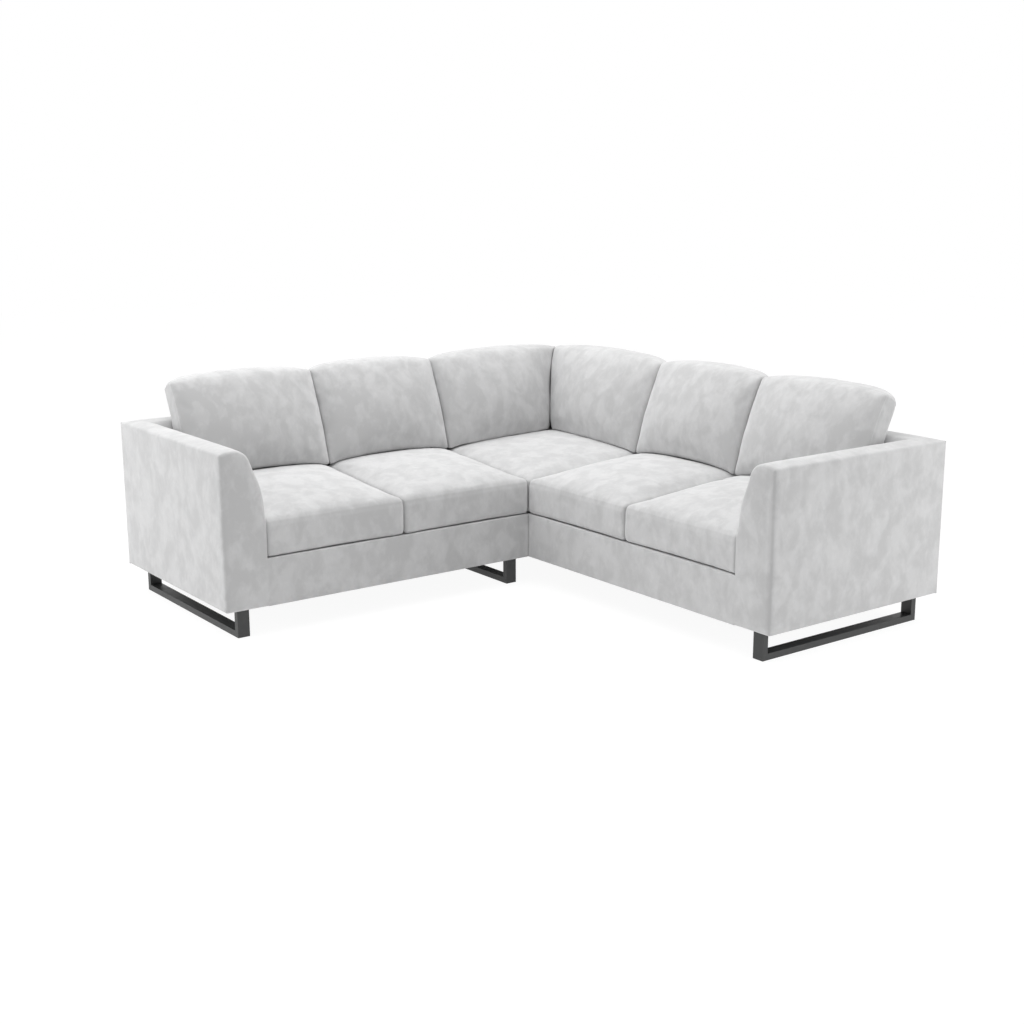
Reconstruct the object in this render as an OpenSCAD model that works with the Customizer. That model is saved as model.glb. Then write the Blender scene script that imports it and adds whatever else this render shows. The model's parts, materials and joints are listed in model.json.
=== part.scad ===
// Two-piece corner sofa: an arm-end loveseat module that pushes up against a
// longer module with one arm and a short return back in the corner.
// Origin: middle of the footprint, on the floor. +Z is up. The loveseat wing runs
// along X with its seats facing -Y; the long wing runs along Y with its seats facing -X.
// Both wings share one layout, mirrored about the diagonal of the corner. Most pieces are
// drawn in wing coordinates: x runs along the wing from the outside of the arm, y runs
// from the seat front to the outside of the back.

/* [Overall] */
// Length of each wing, measured along its outside back
wing_len = 2370; // [2200:10:2700]
// Depth of a wing, from the seat front to the outside of the back
wing_depth = 940; // [900:10:1020]
// Height of the arms and backs at their outer edge
rim_h = 727; // [690:1:790]
// How far the padded rim rises from its outer edge to its crest
rim_crown = 10; // [4:1:20]
// Width over which the padded rim rises to its crest
rim_rise_w = 60; // [35:1:60]
// Height of the underside of the base above the floor
base_z = 117; // [90:1:150]
// Height of the deck that the seat cushions lie on
deck_h = 306; // [290:1:330]
// Gap between the two modules when they are pushed together
module_gap = 1; // [0.6:0.1:3]

/* [Arms] */
// Width of an arm at the base
arm_w = 180; // [165:1:220]
// Height up to which the inner side of an arm stands straight
arm_side_h = 462; // [430:1:500]
// Lean of the upper inner side of an arm, in degrees
arm_rake = 14.3; // [8:0.1:17]
// Radius of the rounded inner shoulder of an arm
arm_round_r = 62; // [45:1:75]
// Padding on the front and the bottom inner side of an arm
arm_pad = 30; // [20:1:40]

/* [Backs] */
// Thickness of a back where it meets the deck
back_w = 238; // [225:1:260]
// Lean of the inside of a back, in degrees
back_rake = 10.2; // [7:0.1:12]
// Radius of the rounded top inner shoulder of a back
back_round_r = 50; // [35:1:60]
// Padding and cover on the inside of a back
back_pad = 25; // [18:1:35]
// Padding and cover over the top of an arm or a back
top_pad = 32; // [24:1:40]
// Board and cover on the outside of an arm or a back
skin_t = 12; // [8:1:16]
// Cover and lining on a hidden end face
end_skin_t = 3; // [2:0.5:6]

/* [Base] */
// Padded cover on the front of the base
band_t = 15; // [10:1:22]
// Padded cloth deck over the seat webbing
deck_t = 12; // [8:1:18]
// Thickness of the plywood rails
rail_t = 22; // [18:1:30]
// Side of the triangular glue blocks in the corners of the base
block_side = 70; // [50:1:90]
// Height of the glue blocks
block_h = 60; // [40:1:90]
// Thickness of the cloth under the base
dust_t = 1; // [0.8:0.1:2]
// How far the cloth under the base stays in from the edges
dust_inset = 14; // [8:1:20]
// Air round a mounting plate where it passes that cloth
plate_play = 1; // [0.5:0.5:2]

/* [Webbing] */
// Width of an elastic strap
strap_w = 60; // [50:1:70]
// Thickness of an elastic strap
strap_t = 2.5; // [1.5:0.1:4]
// Spacing of the seat straps
seat_strap_pitch = 104; // [90:1:140]
// Height of the lowest back strap above the deck
back_strap_first = 40; // [20:1:60]
// Spacing of the back straps
back_strap_pitch = 110; // [90:1:125]

/* [Arm and back frames] */
// Thickness of the plywood ribs of a back
rib_t = 18; // [12:1:25]
// Largest spacing of the ribs
rib_pitch = 320; // [240:5:400]
// Height of the top rail of an arm or back frame
top_rail_h = 45; // [35:1:60]
// Thickness of the top and middle rails of a back frame
back_rail_t = 40; // [25:1:50]
// Thickness of the plywood panel in an arm
arm_panel_t = 12; // [9:1:18]
// Width of the arm frame above the seat
arm_frame_w = 76; // [60:1:82]
// Length of an arm post, along the arm
arm_post_l = 60; // [45:1:80]

/* [Sled legs] */
// Width of the leg tube, across the sled
bar_w = 50; // [40:1:60]
// Thickness of the leg tube
bar_t = 25; // [20:1:30]
// Wall of the leg tube
tube_wall = 2; // [1.5:0.1:3]
// Set-back of the outer legs from the outside of an arm or a return back
leg_side_inset = 60; // [45:1:75]
// Set-back of the front posts from the seat front
leg_front_inset = 35; // [25:1:60]
// Set-back of the rear posts from the outside of the back
leg_rear_inset = 48; // [38:1:70]
// Distance of the inner leg from the joint between the modules
leg_joint_inset = 41; // [30:1:80]
// Thickness of the mounting plates
plate_t = 5; // [3:0.5:8]
// Length of the mounting plates
plate_l = 110; // [100:1:130]
// Distance of the first screw from the outer end of its plate
screw_first = 60; // [55:1:66]
// Spacing of the two screws in a plate
screw_pitch = 32; // [25:1:36]
// Height of the glides under the sleds
glide_h = 2; // [2:0.5:6]
// Radius of a glide
glide_r = 18; // [12:1:20]

/* [Screws] */
// Radius of the screw shanks
screw_r = 3; // [2:0.1:3.5]
// Length of the screw shanks
screw_l = 30; // [22:1:40]
// Radius of the screw heads
head_r = 6; // [5:0.1:7]
// Height of the screw heads
head_h = 3; // [2:0.1:4]

/* [Connectors] */
// Width of a connector tongue
tongue_w = 40; // [30:1:50]
// Thickness of the connector plates
conn_t = 3; // [2:0.1:3.5]
// How much wider a jaw is than its tongue, on each side
jaw_side = 5; // [2:0.5:10]
// How far a tongue reaches past the joint
tongue_reach = 36; // [25:1:45]
// Length of the screwed part of a connector
conn_foot = 60; // [45:1:75]
// Distance of the connectors from the seat front and from the outside back
conn_inset = 245; // [180:5:300]
// Free play of a tongue in its jaw, above and below
jaw_play = 0.5; // [0.4:0.1:1]

/* [Seat cushions] */
// Height of the sides of a seat cushion
seat_side = 158; // [140:1:170]
// Rise of the crowned top above the sides
seat_crown = 68; // [55:1:80]
// How far the crest of a seat cushion lies behind its middle
crown_set_back = 100; // [70:5:120]
// Radius of the upright corners
seat_corner_r = 20; // [12:1:35]
// Radius of the top edges
seat_edge_r = 24; // [14:1:30]
// How far the sides are drawn in between the corners
seat_draw = 3; // [1:0.5:6]
// Gap between a seat cushion and the back frame behind it
seat_rear_gap = 2; // [1:0.5:6]
// Gap between two cushions side by side
cushion_gap = 1; // [0.6:0.1:3]

/* [Back cushions] */
// Distance from the outside back to the front foot of a back cushion
back_seat_line = 345; // [325:1:365]
// Lean of the front of a back cushion, in degrees
cushion_rake = 18; // [15:0.5:20]
// Lean of its rear, in degrees
cushion_rear_rake = 18; // [14:0.5:20]
// Height of the sides of a back cushion
cushion_side = 407; // [380:1:430]
// Rise of the top edge in the middle
cushion_arch = 25; // [10:1:35]
// Swell of the front face
front_crown = 30; // [15:1:40]
// Swell of the rear face
rear_crown = 11; // [6:1:16]
// Radius of the corners of a back cushion
cushion_corner_r = 22; // [16:1:36]
// Arch of a back cushion's foot over the seat, as a share of the seat crown
foot_share = 0.44; // [0.34:0.01:0.46]
// The same for the two cushions in the corner
corner_foot_share = 0.27; // [0.2:0.01:0.28]
// Rise of their foot towards the diagonal, as a share of the seat crown
corner_rise_share = 0.36; // [0.34:0.01:0.4]
// How far the sides are drawn in between the corners
cushion_draw = 4; // [1:0.5:8]
// Gap between an arm and the end of the cushion next to it
end_gap = 3.4; // [1:0.1:6]
// Height over which that end follows the leaning arm, above which it stands straight
end_rise = 95; // [60:1:110]

/* [Foam cores] */
// Thickness of the fibre wrap round a foam core
wrap = 36; // [30:1:45]
// Thickness of the fibre wrap under and over a seat core
seat_wrap = 14; // [10:1:20]

/* [Hidden] */
// Air between pieces that are fixed together
fit = 0.3;
// Air between pieces that lie on each other and can be lifted off
lay = 0.5;
// How far a cutting shape reaches past the faces that it cuts
over = 1;
loveseat_len = wing_len - wing_depth - module_gap;
joint_at = wing_len - wing_depth;
crest_z = rim_h + rim_crown;
seat_pitch = (joint_at - arm_w) / 2;
seat_foot_z = deck_h + lay;
seat_top_z = seat_foot_z + seat_side + seat_crown;
seat_depth = wing_depth - back_w - seat_rear_gap;
foot_sink = 1.5;
cushion_foot_z = seat_top_z - foot_sink - foot_share * seat_crown;
strap_z = deck_h - deck_t - fit - strap_t;
rail_top = strap_z;
rail_h = rail_top - base_z;
frame_top = crest_z - top_pad;
// Depth of the feet of the ribs, so that the rail before them stands over the end leg
rail_back = leg_side_inset + bar_w / 2 - rail_t / 2;
deck_rear = wing_depth - rail_back - fit;
cavity_w = back_w - back_pad;
rib_w = cavity_w - strap_t - 2 * fit;
jaw_gap = conn_t + 2 * jaw_play;
conn_z = base_z - dust_t;
tongue_z = conn_z - conn_t - jaw_play - conn_t;
leg_z = glide_h;
plate_z = base_z - plate_t;
leg_l = wing_depth - leg_front_inset - leg_rear_inset;
inner_leg_x = loveseat_len - leg_joint_inset - bar_w;
end_leg_x = wing_len - leg_side_inset - bar_w;
conn_places = [conn_inset, wing_depth - conn_inset];
screw_steps = [screw_first, screw_first + screw_pitch];
// Points on a cushion outline: along each side, and round each corner
side_n = 4;
corner_n = 4;
ring_n = 4 * (side_n + corner_n);
shoulder_n = 8;
rise_n = 4;
cloth = [0.83, 0.83, 0.84];
cloth_in = [0.78, 0.78, 0.78];
steel_black = [0.2, 0.2, 0.2];
steel_zinc = [0.7, 0.7, 0.68];
pale_wood = [0.8, 0.66, 0.47];
foam = [0.95, 0.9, 0.72];
belt = [0.25, 0.25, 0.28];
lining = [0.12, 0.12, 0.13];

// Placing

// Wing coordinates of the loveseat wing
module on_left_wing() {
    translate([-wing_len / 2, wing_len / 2 - wing_depth, 0])
        children();
}

// Wing coordinates of the long wing: the mirror image about the diagonal
module on_right_wing() {
    mirror([1, -1, 0])
        on_left_wing()
            children();
}

// Swaps the outside back and the return end of the long wing, in wing coordinates
module swap_ends() {
    translate([wing_len - wing_depth, wing_depth - wing_len, 0])
        mirror([1, -1, 0])
            children();
}

// Sections, drawn as [distance from the outside, height]

// Middle of the rounded shoulder that joins the crest to a leaning inner side
function shoulder_x(w, side_z, rake, r) =
    w - (r - (side_z - crest_z + r) * sin(rake)) / cos(rake);

// Padded rim of an arm or a back, from the outside foot over the crest to the inner side
function rim_section(w, side_z, rake, r) =
    let (
        cx = shoulder_x(w, side_z, rake, r),
        rise_w = min(rim_rise_w, cx - 1)
    )
    concat(
        [[0, base_z], [0, rim_h]],
        [for (k = [1 : rise_n])
            [rise_w * k / rise_n, rim_h + rim_crown * (1 - pow(1 - k / rise_n, 2))]],
        [for (k = [0 : shoulder_n])
            let (a = 90 + (rake - 90) * k / shoulder_n)
            [cx + r * cos(a), crest_z - r + r * sin(a)]],
        [[w, side_z]]
    );

// Stretches a section drawn as [depth, height] along x, from x0 to x1
module along_x(x0, x1) {
    translate([x1, wing_depth, 0])
        rotate([90, 0, -90])
            linear_extrude(height = x1 - x0)
                children();
}

// Stretches a section drawn as [distance from the arm side, height] along y
module along_y(y0, y1) {
    translate([0, y1, 0])
        rotate([90, 0, 0])
            linear_extrude(height = y1 - y0)
                children();
}

// Inner side of a back frame at a height, with a given foot width
function rake_x(w, z) = w - (z - deck_h) * tan(back_rake);

// Arm

module arm_shape() {
    along_y(0, wing_depth)
        polygon(concat(
            rim_section(arm_w, arm_side_h, arm_rake, arm_round_r),
            [[arm_w, base_z]]
        ));
}

// Everything nearer to the arm side than to the outside back, for a mitred corner
module arm_side_of_mitre() {
    linear_extrude(height = crest_z + over)
        polygon([[-over, -over], [wing_depth, -over], [wing_depth, 0], [-over, wing_depth + over]]);
}

// Room for the arm frame inside the covers
module arm_cavity() {
    translate([skin_t, arm_pad, base_z - over])
        cube([arm_frame_w + 2 * fit, wing_depth - arm_pad - skin_t, frame_top - base_z + over]);
    translate([skin_t, arm_pad, base_z - over])
        cube([arm_w - arm_pad - skin_t, wing_depth - arm_pad - skin_t, rail_h + over]);
}

module arm_cover() {
    color(cloth)
        difference() {
            intersection() {
                arm_shape();
                arm_side_of_mitre();
            }
            arm_cavity();
        }
}

module arm_frame() {
    x0 = skin_t + fit;
    y0 = arm_pad + fit;
    y1 = wing_depth - skin_t - fit;
    foot_w = arm_w - arm_pad - skin_t - 2 * fit;
    post_x = x0 + arm_panel_t;
    post_w = arm_frame_w - arm_panel_t;
    top_z = frame_top - fit;
    post_gap = (y1 - y0 - arm_post_l) / 3;
    color(pale_wood)
        difference() {
            union() {
                translate([x0, y0, base_z])
                    cube([arm_panel_t, y1 - y0, top_z - base_z]);
                translate([x0, y0, base_z])
                    cube([foot_w, y1 - y0, top_rail_h]);
                translate([x0, y0, top_z - top_rail_h])
                    cube([arm_frame_w, y1 - y0, top_rail_h]);
                for (k = [0 : 3])
                    translate([post_x, y0 + k * post_gap, base_z])
                        cube([post_w, arm_post_l, top_z - base_z]);
            }
            leg_screw_holes(leg_side_inset);
        }
}

// Back

module back_shape(x0, x1) {
    along_x(x0, x1)
        polygon(concat(
            rim_section(back_w, deck_h, back_rake, back_round_r),
            [[skin_t, deck_h], [skin_t, base_z]]
        ));
}

// Room for the ribs and the webbing inside a back
module back_cavity(x0, x1) {
    along_x(x0, x1)
        polygon([
            [skin_t, deck_h - over],
            [skin_t, frame_top],
            [rake_x(cavity_w, frame_top), frame_top],
            [rake_x(cavity_w, deck_h - over), deck_h - over]
        ]);
}

module rib_outline() {
    foot_top = deck_h + fit;
    top_z = frame_top - fit;
    polygon([
        [skin_t + fit, base_z],
        [skin_t + fit, top_z],
        [rake_x(rib_w, top_z), top_z],
        [rake_x(rib_w, foot_top), foot_top],
        [rail_back - fit, foot_top],
        [rail_back - fit, base_z]
    ]);
}

// Ribs at even spacing between x0 and x1, joined by a top rail and a middle rail
module back_frame(x0, x1) {
    n = ceil((x1 - x0 - rib_t) / rib_pitch);
    pitch = (x1 - x0 - rib_t) / n;
    top_z = frame_top - fit;
    mid_z = (deck_h + top_z) / 2;
    color(pale_wood)
        union() {
            for (k = [0 : n])
                along_x(x0 + k * pitch, x0 + k * pitch + rib_t)
                    rib_outline();
            for (z = [mid_z, top_z])
                along_x(x0, x1)
                    translate([skin_t + fit, z - top_rail_h])
                        square([back_rail_t, top_rail_h]);
        }
}

// Straps stretched over the leaning front edges of the ribs
module back_webbing(x0, x1) {
    for (k = [0 : 2]) {
        z0 = deck_h + back_strap_first + k * back_strap_pitch;
        z1 = z0 + strap_w;
        w = rib_w + fit;
        color(belt)
            along_x(x0, x1)
                polygon([
                    [rake_x(w, z0), z0],
                    [rake_x(w + strap_t, z0), z0],
                    [rake_x(w + strap_t, z1), z1],
                    [rake_x(w, z1), z1]
                ]);
    }
}

// The back of a wing next to an arm, cut to fit round that arm
module back_by_arm(x1) {
    difference() {
        back_shape(0, x1);
        intersection() {
            union() {
                arm_shape();
                cube([shoulder_x(arm_w, arm_side_h, arm_rake, arm_round_r), wing_depth, crest_z + over]);
            }
            arm_side_of_mitre();
        }
        arm_cavity();
    }
}

// The part of the long wing on the outside-back side of the far corner's mitre
module far_half() {
    linear_extrude(height = crest_z + over)
        polygon([
            [-over, wing_depth - back_w - over],
            [wing_len - back_w - over - fit / 2, wing_depth - back_w - over],
            [wing_len + over - fit / 2, wing_depth + over],
            [-over, wing_depth + over]
        ]);
}

module long_back_cavity() {
    back_cavity(arm_w + back_pad, wing_len - skin_t);
}

module return_cavity() {
    swap_ends()
        back_cavity(joint_at + band_t, wing_len - skin_t);
}

module short_back_cover() {
    color(cloth)
        difference() {
            back_by_arm(loveseat_len);
            back_cavity(arm_w + back_pad, loveseat_len - end_skin_t);
        }
}

module long_back_cover() {
    color(cloth)
        difference() {
            intersection() {
                back_by_arm(wing_len);
                far_half();
            }
            long_back_cavity();
            return_cavity();
        }
}

module return_cover() {
    color(cloth)
        difference() {
            swap_ends()
                intersection() {
                    back_shape(joint_at, wing_len);
                    far_half();
                }
            return_cavity();
            long_back_cavity();
        }
}

// Base

module front_rail(x1) {
    color(pale_wood)
        translate([arm_w + fit, band_t + fit, base_z])
            cube([x1 - arm_w - fit, rail_t, rail_h]);
}

module rear_rail(x1) {
    color(pale_wood)
        translate([arm_w + fit, wing_depth - rail_back - rail_t, base_z])
            cube([x1 - arm_w - fit, rail_t, rail_h]);
}

// Rails from front to back at the given middles, drilled where a leg is screwed on
module cross_rails(middles, leg_x) {
    y0 = band_t + rail_t + 2 * fit;
    y1 = wing_depth - rail_back - rail_t - fit;
    color(pale_wood)
        difference() {
            for (x = middles)
                translate([x - rail_t / 2, y0, base_z])
                    cube([rail_t, y1 - y0, rail_h]);
            leg_screw_holes(leg_x);
        }
}

function short_rails() = [
    arm_w + fit + rail_t / 2,
    arm_w + seat_pitch,
    inner_leg_x + bar_w / 2
];

function long_rails() = [
    arm_w + fit + rail_t / 2,
    arm_w + seat_pitch,
    joint_at,
    (joint_at + end_leg_x) / 2,
    end_leg_x + bar_w / 2
];

// Triangular block in the corner of two rails, pointing along sx and sy
module glue_block(x, y, sx, sy) {
    translate([x, y, base_z + (rail_h - block_h) / 2])
        linear_extrude(height = block_h)
            polygon([[0, 0], [sx * block_side, 0], [0, sy * block_side]]);
}

// Four blocks between the first and the last cross rail
module glue_blocks(middles) {
    y0 = band_t + rail_t + 2 * fit;
    y1 = wing_depth - rail_back - rail_t - fit;
    x0 = middles[0] + rail_t / 2 + fit;
    x1 = middles[len(middles) - 1] - rail_t / 2 - fit;
    color(pale_wood) {
        glue_block(x0, y0, 1, 1);
        glue_block(x1, y0, -1, 1);
        glue_block(x0, y1, 1, -1);
        glue_block(x1, y1, -1, -1);
    }
}

// Straps from the front rail to the rear rail
module seat_webbing(x1) {
    x0 = arm_w + rail_t;
    n = floor((x1 - x0 - strap_w) / seat_strap_pitch);
    y0 = band_t + fit;
    y1 = wing_depth - rail_back;
    color(belt)
        for (k = [0 : n])
            translate([x0 + k * seat_strap_pitch, y0, strap_z])
                cube([strap_w, y1 - y0, strap_t]);
}

module deck(x1) {
    color(cloth_in)
        translate([arm_w + fit, band_t + fit, deck_h - deck_t])
            cube([x1 - arm_w - fit, deck_rear - band_t - fit, deck_t]);
}

module short_base_cover() {
    color(cloth) {
        translate([arm_w + fit, 0, base_z])
            cube([loveseat_len - arm_w - fit, band_t, deck_h - base_z]);
        translate([loveseat_len - end_skin_t, band_t + fit, base_z])
            cube([end_skin_t, deck_rear - band_t - fit, deck_h - base_z]);
    }
}

module long_base_cover() {
    color(cloth)
        translate([arm_w + fit, 0, base_z])
            cube([wing_len - arm_w - skin_t - 2 * fit, band_t, deck_h - base_z]);
}

// Cloth under the base, cut out round the mounting plates
module dust_cover(x1, legs) {
    color(lining)
        difference() {
            translate([dust_inset, dust_inset, base_z - dust_t])
                cube([x1 - 2 * dust_inset, wing_depth - 2 * dust_inset, dust_t]);
            for (x = legs)
                for (y = [leg_front_inset, leg_front_inset + leg_l - plate_l])
                    translate([x - plate_play, y - plate_play, base_z - dust_t - over])
                        cube([bar_w + 2 * plate_play, plate_l + 2 * plate_play, dust_t + 2 * over]);
        }
}

// Legs

// Every screw position of a sled whose tube starts at x
module leg_screw_places(x) {
    for (step = screw_steps) {
        translate([x + bar_w / 2, leg_front_inset + step, 0])
            children();
        translate([x + bar_w / 2, leg_front_inset + leg_l - step, 0])
            children();
    }
}

module leg_screw_holes(x) {
    leg_screw_places(x)
        translate([0, 0, base_z - over])
            cylinder(h = screw_l + 2 * over, r = screw_r + fit / 3, $fn = 24);
}

// Stretches a side view drawn as [distance from the front post, height] across a sled
module across_sled() {
    rotate([90, 0, 90])
        linear_extrude(height = bar_w)
            children();
}

// Front and rear end of a sled
module sled_ends() {
    children();
    translate([0, leg_l, 0])
        mirror([0, 1, 0])
            children();
}

// Tube along the floor, mitred at both ends
module runner() {
    difference() {
        across_sled()
            polygon([
                [0, leg_z],
                [leg_l, leg_z],
                [leg_l - bar_t, leg_z + bar_t],
                [bar_t, leg_z + bar_t]
            ]);
        translate([tube_wall, -over, leg_z + tube_wall])
            cube([bar_w - 2 * tube_wall, leg_l + 2 * over, bar_t - 2 * tube_wall]);
    }
}

// Upright tube, mitred at its foot
module post() {
    difference() {
        across_sled()
            polygon([
                [0, leg_z + fit],
                [bar_t, leg_z + bar_t + fit],
                [bar_t, plate_z - fit],
                [0, plate_z - fit]
            ]);
        translate([tube_wall, tube_wall, leg_z - over])
            cube([bar_w - 2 * tube_wall, bar_t - 2 * tube_wall, plate_z - leg_z + 2 * over]);
    }
}

// Screw plate on top of a post
module plate() {
    difference() {
        translate([0, 0, plate_z])
            cube([bar_w, plate_l, plate_t]);
        for (step = screw_steps)
            translate([bar_w / 2, step, plate_z - over])
                cylinder(h = plate_t + 2 * over, r = screw_r + fit, $fn = 24);
    }
}

// A sled leg is welded from a runner, two posts of the same tube and two plates,
// with the width of a weld between them. Its tube starts at x.
module sled_leg(x) {
    color(steel_black)
        translate([x, leg_front_inset, 0]) {
            runner();
            sled_ends() {
                post();
                plate();
            }
        }
}

// Round glides under both ends of a sled
module glides(x) {
    color(lining)
        for (y = [leg_front_inset + bar_w / 2, leg_front_inset + leg_l - bar_w / 2])
            translate([x + bar_w / 2, y, 0])
                cylinder(h = glide_h, r = glide_r, $fn = 48);
}

// Pan-head screw, pointing up, its head under the height z
module screw(z) {
    color(steel_zinc)
        translate([0, 0, z - head_h]) {
            cylinder(h = head_h, r = head_r, $fn = 24);
            cylinder(h = head_h + screw_l, r = screw_r, $fn = 24);
        }
}

module leg_screws(x) {
    leg_screw_places(x)
        screw(plate_z);
}

// Connectors, in row coordinates: the joint plane stands across X

joint_x = wing_len / 2 - wing_depth;
joint_y0 = wing_len / 2 - wing_depth;

// Stretches a side view drawn as [distance past the joint, height] along y
module across_joint(w) {
    for (y = conn_places)
        translate([joint_x, joint_y0 + y + w / 2, 0])
            rotate([90, 0, 0])
                linear_extrude(height = w)
                    children();
}

// Screwed foot under the loveseat, stepped down to a tongue that crosses the joint
module connector_tongues() {
    foot_end = -module_gap - conn_t;
    color(steel_zinc)
        across_joint(tongue_w)
            polygon([
                [foot_end - conn_foot, conn_z],
                [foot_end - conn_foot, conn_z - conn_t],
                [foot_end - conn_t, conn_z - conn_t],
                [foot_end - conn_t, tongue_z],
                [tongue_reach, tongue_z],
                [tongue_reach, tongue_z + conn_t],
                [foot_end, tongue_z + conn_t],
                [foot_end, conn_z]
            ]);
}

// Sideways C under the long module that takes a tongue
module connector_jaws() {
    x0 = fit;
    x1 = tongue_reach + jaw_play;
    roof = conn_z - conn_t;
    floor_z = roof - jaw_gap;
    color(steel_zinc)
        across_joint(tongue_w + 2 * jaw_side)
            polygon([
                [x0, conn_z],
                [x1 + conn_foot, conn_z],
                [x1 + conn_foot, roof],
                [x1 + conn_t, roof],
                [x1 + conn_t, floor_z - conn_t],
                [x0, floor_z - conn_t],
                [x0, floor_z],
                [x1, floor_z],
                [x1, roof],
                [x0, roof]
            ]);
}

// Cushions

// One side of a ring: points after the corner it starts from, drawn in by the draw
function side_pts(from, to, inward, draw) = [
    for (k = [1 : side_n])
        let (f = k / (side_n + 1))
        from + f * (to - from) + inward * draw * 4 * f * (1 - f)
];

function corner_pts(c, r, a0) = [
    for (k = [0 : corner_n - 1])
        let (a = a0 + 90 * k / (corner_n - 1))
        c + r * [cos(a), sin(a)]
];

// Rounded rectangle of w by h, inset all round; draws gives the foot, end, top and end
function ring_pts(w, h, r, inset, draws) =
    let (
        x0 = inset,
        x1 = w - inset,
        y0 = inset,
        y1 = h - inset,
        q = min(r + inset / 2, 0.46 * min(x1 - x0, y1 - y0)),
        fade = 1 - inset / (w / 2)
    )
    concat(
        side_pts([x0 + q, y0], [x1 - q, y0], [0, 1], draws[0] * fade),
        corner_pts([x1 - q, y0 + q], q, -90),
        side_pts([x1, y0 + q], [x1, y1 - q], [-1, 0], draws[1] * fade),
        corner_pts([x1 - q, y1 - q], q, 0),
        side_pts([x1 - q, y1], [x0 + q, y1], [0, -1], draws[2] * fade),
        corner_pts([x0 + q, y1 - q], q, 90),
        side_pts([x0, y1 - q], [x0, y0 + q], [1, 0], draws[3] * fade),
        corner_pts([x0 + q, y0 + q], q, 180)
    );

// Triangles of a closed skin over m rings, with a pole before and after them
function skin_faces(m) = concat(
    [for (k = [0 : ring_n - 1]) [m * ring_n, k, (k + 1) % ring_n]],
    [for (j = [0 : m - 2])
        for (k = [0 : ring_n - 1])
            [j * ring_n + k, (j + 1) * ring_n + k, (j + 1) * ring_n + (k + 1) % ring_n]],
    [for (j = [0 : m - 2])
        for (k = [0 : ring_n - 1])
            [j * ring_n + k, (j + 1) * ring_n + (k + 1) % ring_n, j * ring_n + (k + 1) % ring_n]],
    [for (k = [0 : ring_n - 1])
        [m * ring_n + 1, (m - 1) * ring_n + (k + 1) % ring_n, (m - 1) * ring_n + k]]
);

// Rings of a seat cushion as [inset, height]: rounded foot, boxed side, crowned top
function seat_rings() = [
    [seat_edge_r * 0.6, 0],
    [seat_edge_r * 0.15, seat_edge_r * 0.2],
    [0, seat_edge_r * 0.6],
    [0, seat_side - seat_edge_r],
    [seat_edge_r * 0.13, seat_side - seat_edge_r * 0.5],
    [seat_edge_r * 0.5, seat_side - seat_edge_r * 0.13],
    [seat_edge_r, seat_side + seat_crown * 0.08],
    [seat_edge_r * 2.4, seat_side + seat_crown * 0.42],
    [seat_edge_r * 4.6, seat_side + seat_crown * 0.76],
    [seat_edge_r * 8, seat_side + seat_crown * 0.95]
];

// Moves a place t along a side of length l back, most in the middle and not at the ends
function set_back(t, l) = t + crown_set_back * 4 * t / l * (1 - t / l);

// Seat cushion of w by d, its front left foot at the local origin. Its crest lies
// behind the middle, and in the corner behind the middle of both wings.
module seat_cushion(w, d, in_corner) {
    rings = seat_rings();
    draws = [seat_draw, seat_draw, seat_draw, seat_draw];
    flat_pts = concat(
        [for (s = rings)
            for (p = ring_pts(w, d, seat_corner_r, s[0], draws))
                [p[0], p[1], s[1]]],
        [[w / 2, d / 2, 0], [w / 2, d / 2, seat_side + seat_crown]]
    );
    pts = [for (p = flat_pts) [in_corner ? set_back(p[0], w) : p[0], set_back(p[1], d), p[2]]];
    polyhedron(points = pts, faces = skin_faces(len(rings)), convexity = 4);
}

module seat_core(w, d, air) {
    translate([wrap - air, wrap - air, seat_wrap - air])
        cube([w - 2 * wrap + 2 * air, d - 2 * wrap + 2 * air, seat_side - 2 * seat_wrap + 2 * air]);
}

module seat_foam(w, d) {
    color(foam)
        seat_core(w, d, 0);
}

module seat_cover(w, d, in_corner) {
    color(cloth)
        difference() {
            seat_cushion(w, d, in_corner);
            seat_core(w, d, fit);
        }
}

// Middle of the round shoulder at the crest of the back, on which the cushions lean
lean_x = shoulder_x(back_w, deck_h, back_rake, back_round_r);
lean_z = crest_z - back_round_r;

// Front and rear of a back cushion at a height: distance from the outside back
function cushion_front(z) = back_seat_line - (z - cushion_foot_z) * tan(cushion_rake);
function cushion_rear(z) =
    lean_x + rear_crown + (back_round_r + lay) / cos(cushion_rear_rake)
    - (z - lean_z) * tan(cushion_rear_rake);

// Rings of a back cushion as [inset, front or rear, distance out of that face]
function back_rings() = [
    [110, 0, rear_crown],
    [55, 0, rear_crown * 0.8],
    [22, 0, rear_crown * 0.3],
    [7, 0, -6],
    [0, 0, -18],
    [0, 1, -22],
    [5, 1, -8],
    [18, 1, front_crown * 0.12],
    [44, 1, front_crown * 0.5],
    [86, 1, front_crown * 0.82],
    [140, 1, front_crown * 0.97]
];

// Inner side of an arm at a height, and the cushion end that follows it
function arm_face(z) = arm_w - max(0, z - arm_side_h) * tan(arm_rake);
function arm_end(z) = arm_face(min(z, cushion_foot_z + end_rise)) + end_gap;

// Point of a back cushion between x0 and x1, at the share u of its width.
// A cushion by an arm follows it, and one in the corner stops at the diagonal.
function back_point(x0, x1, u, z, depth, by_arm, mitred) =
    let (
        lo = by_arm ? arm_end(z) : x0,
        hi = mitred ? wing_len - depth - cushion_gap / 2 : x1
    )
    [lo + u * (hi - lo), wing_depth - depth, z];

// Extra height of a mitred cushion at the shares u of its width and v of its height
function corner_rise(u, v) = corner_rise_share * seat_crown * u * (1 - v);

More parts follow.
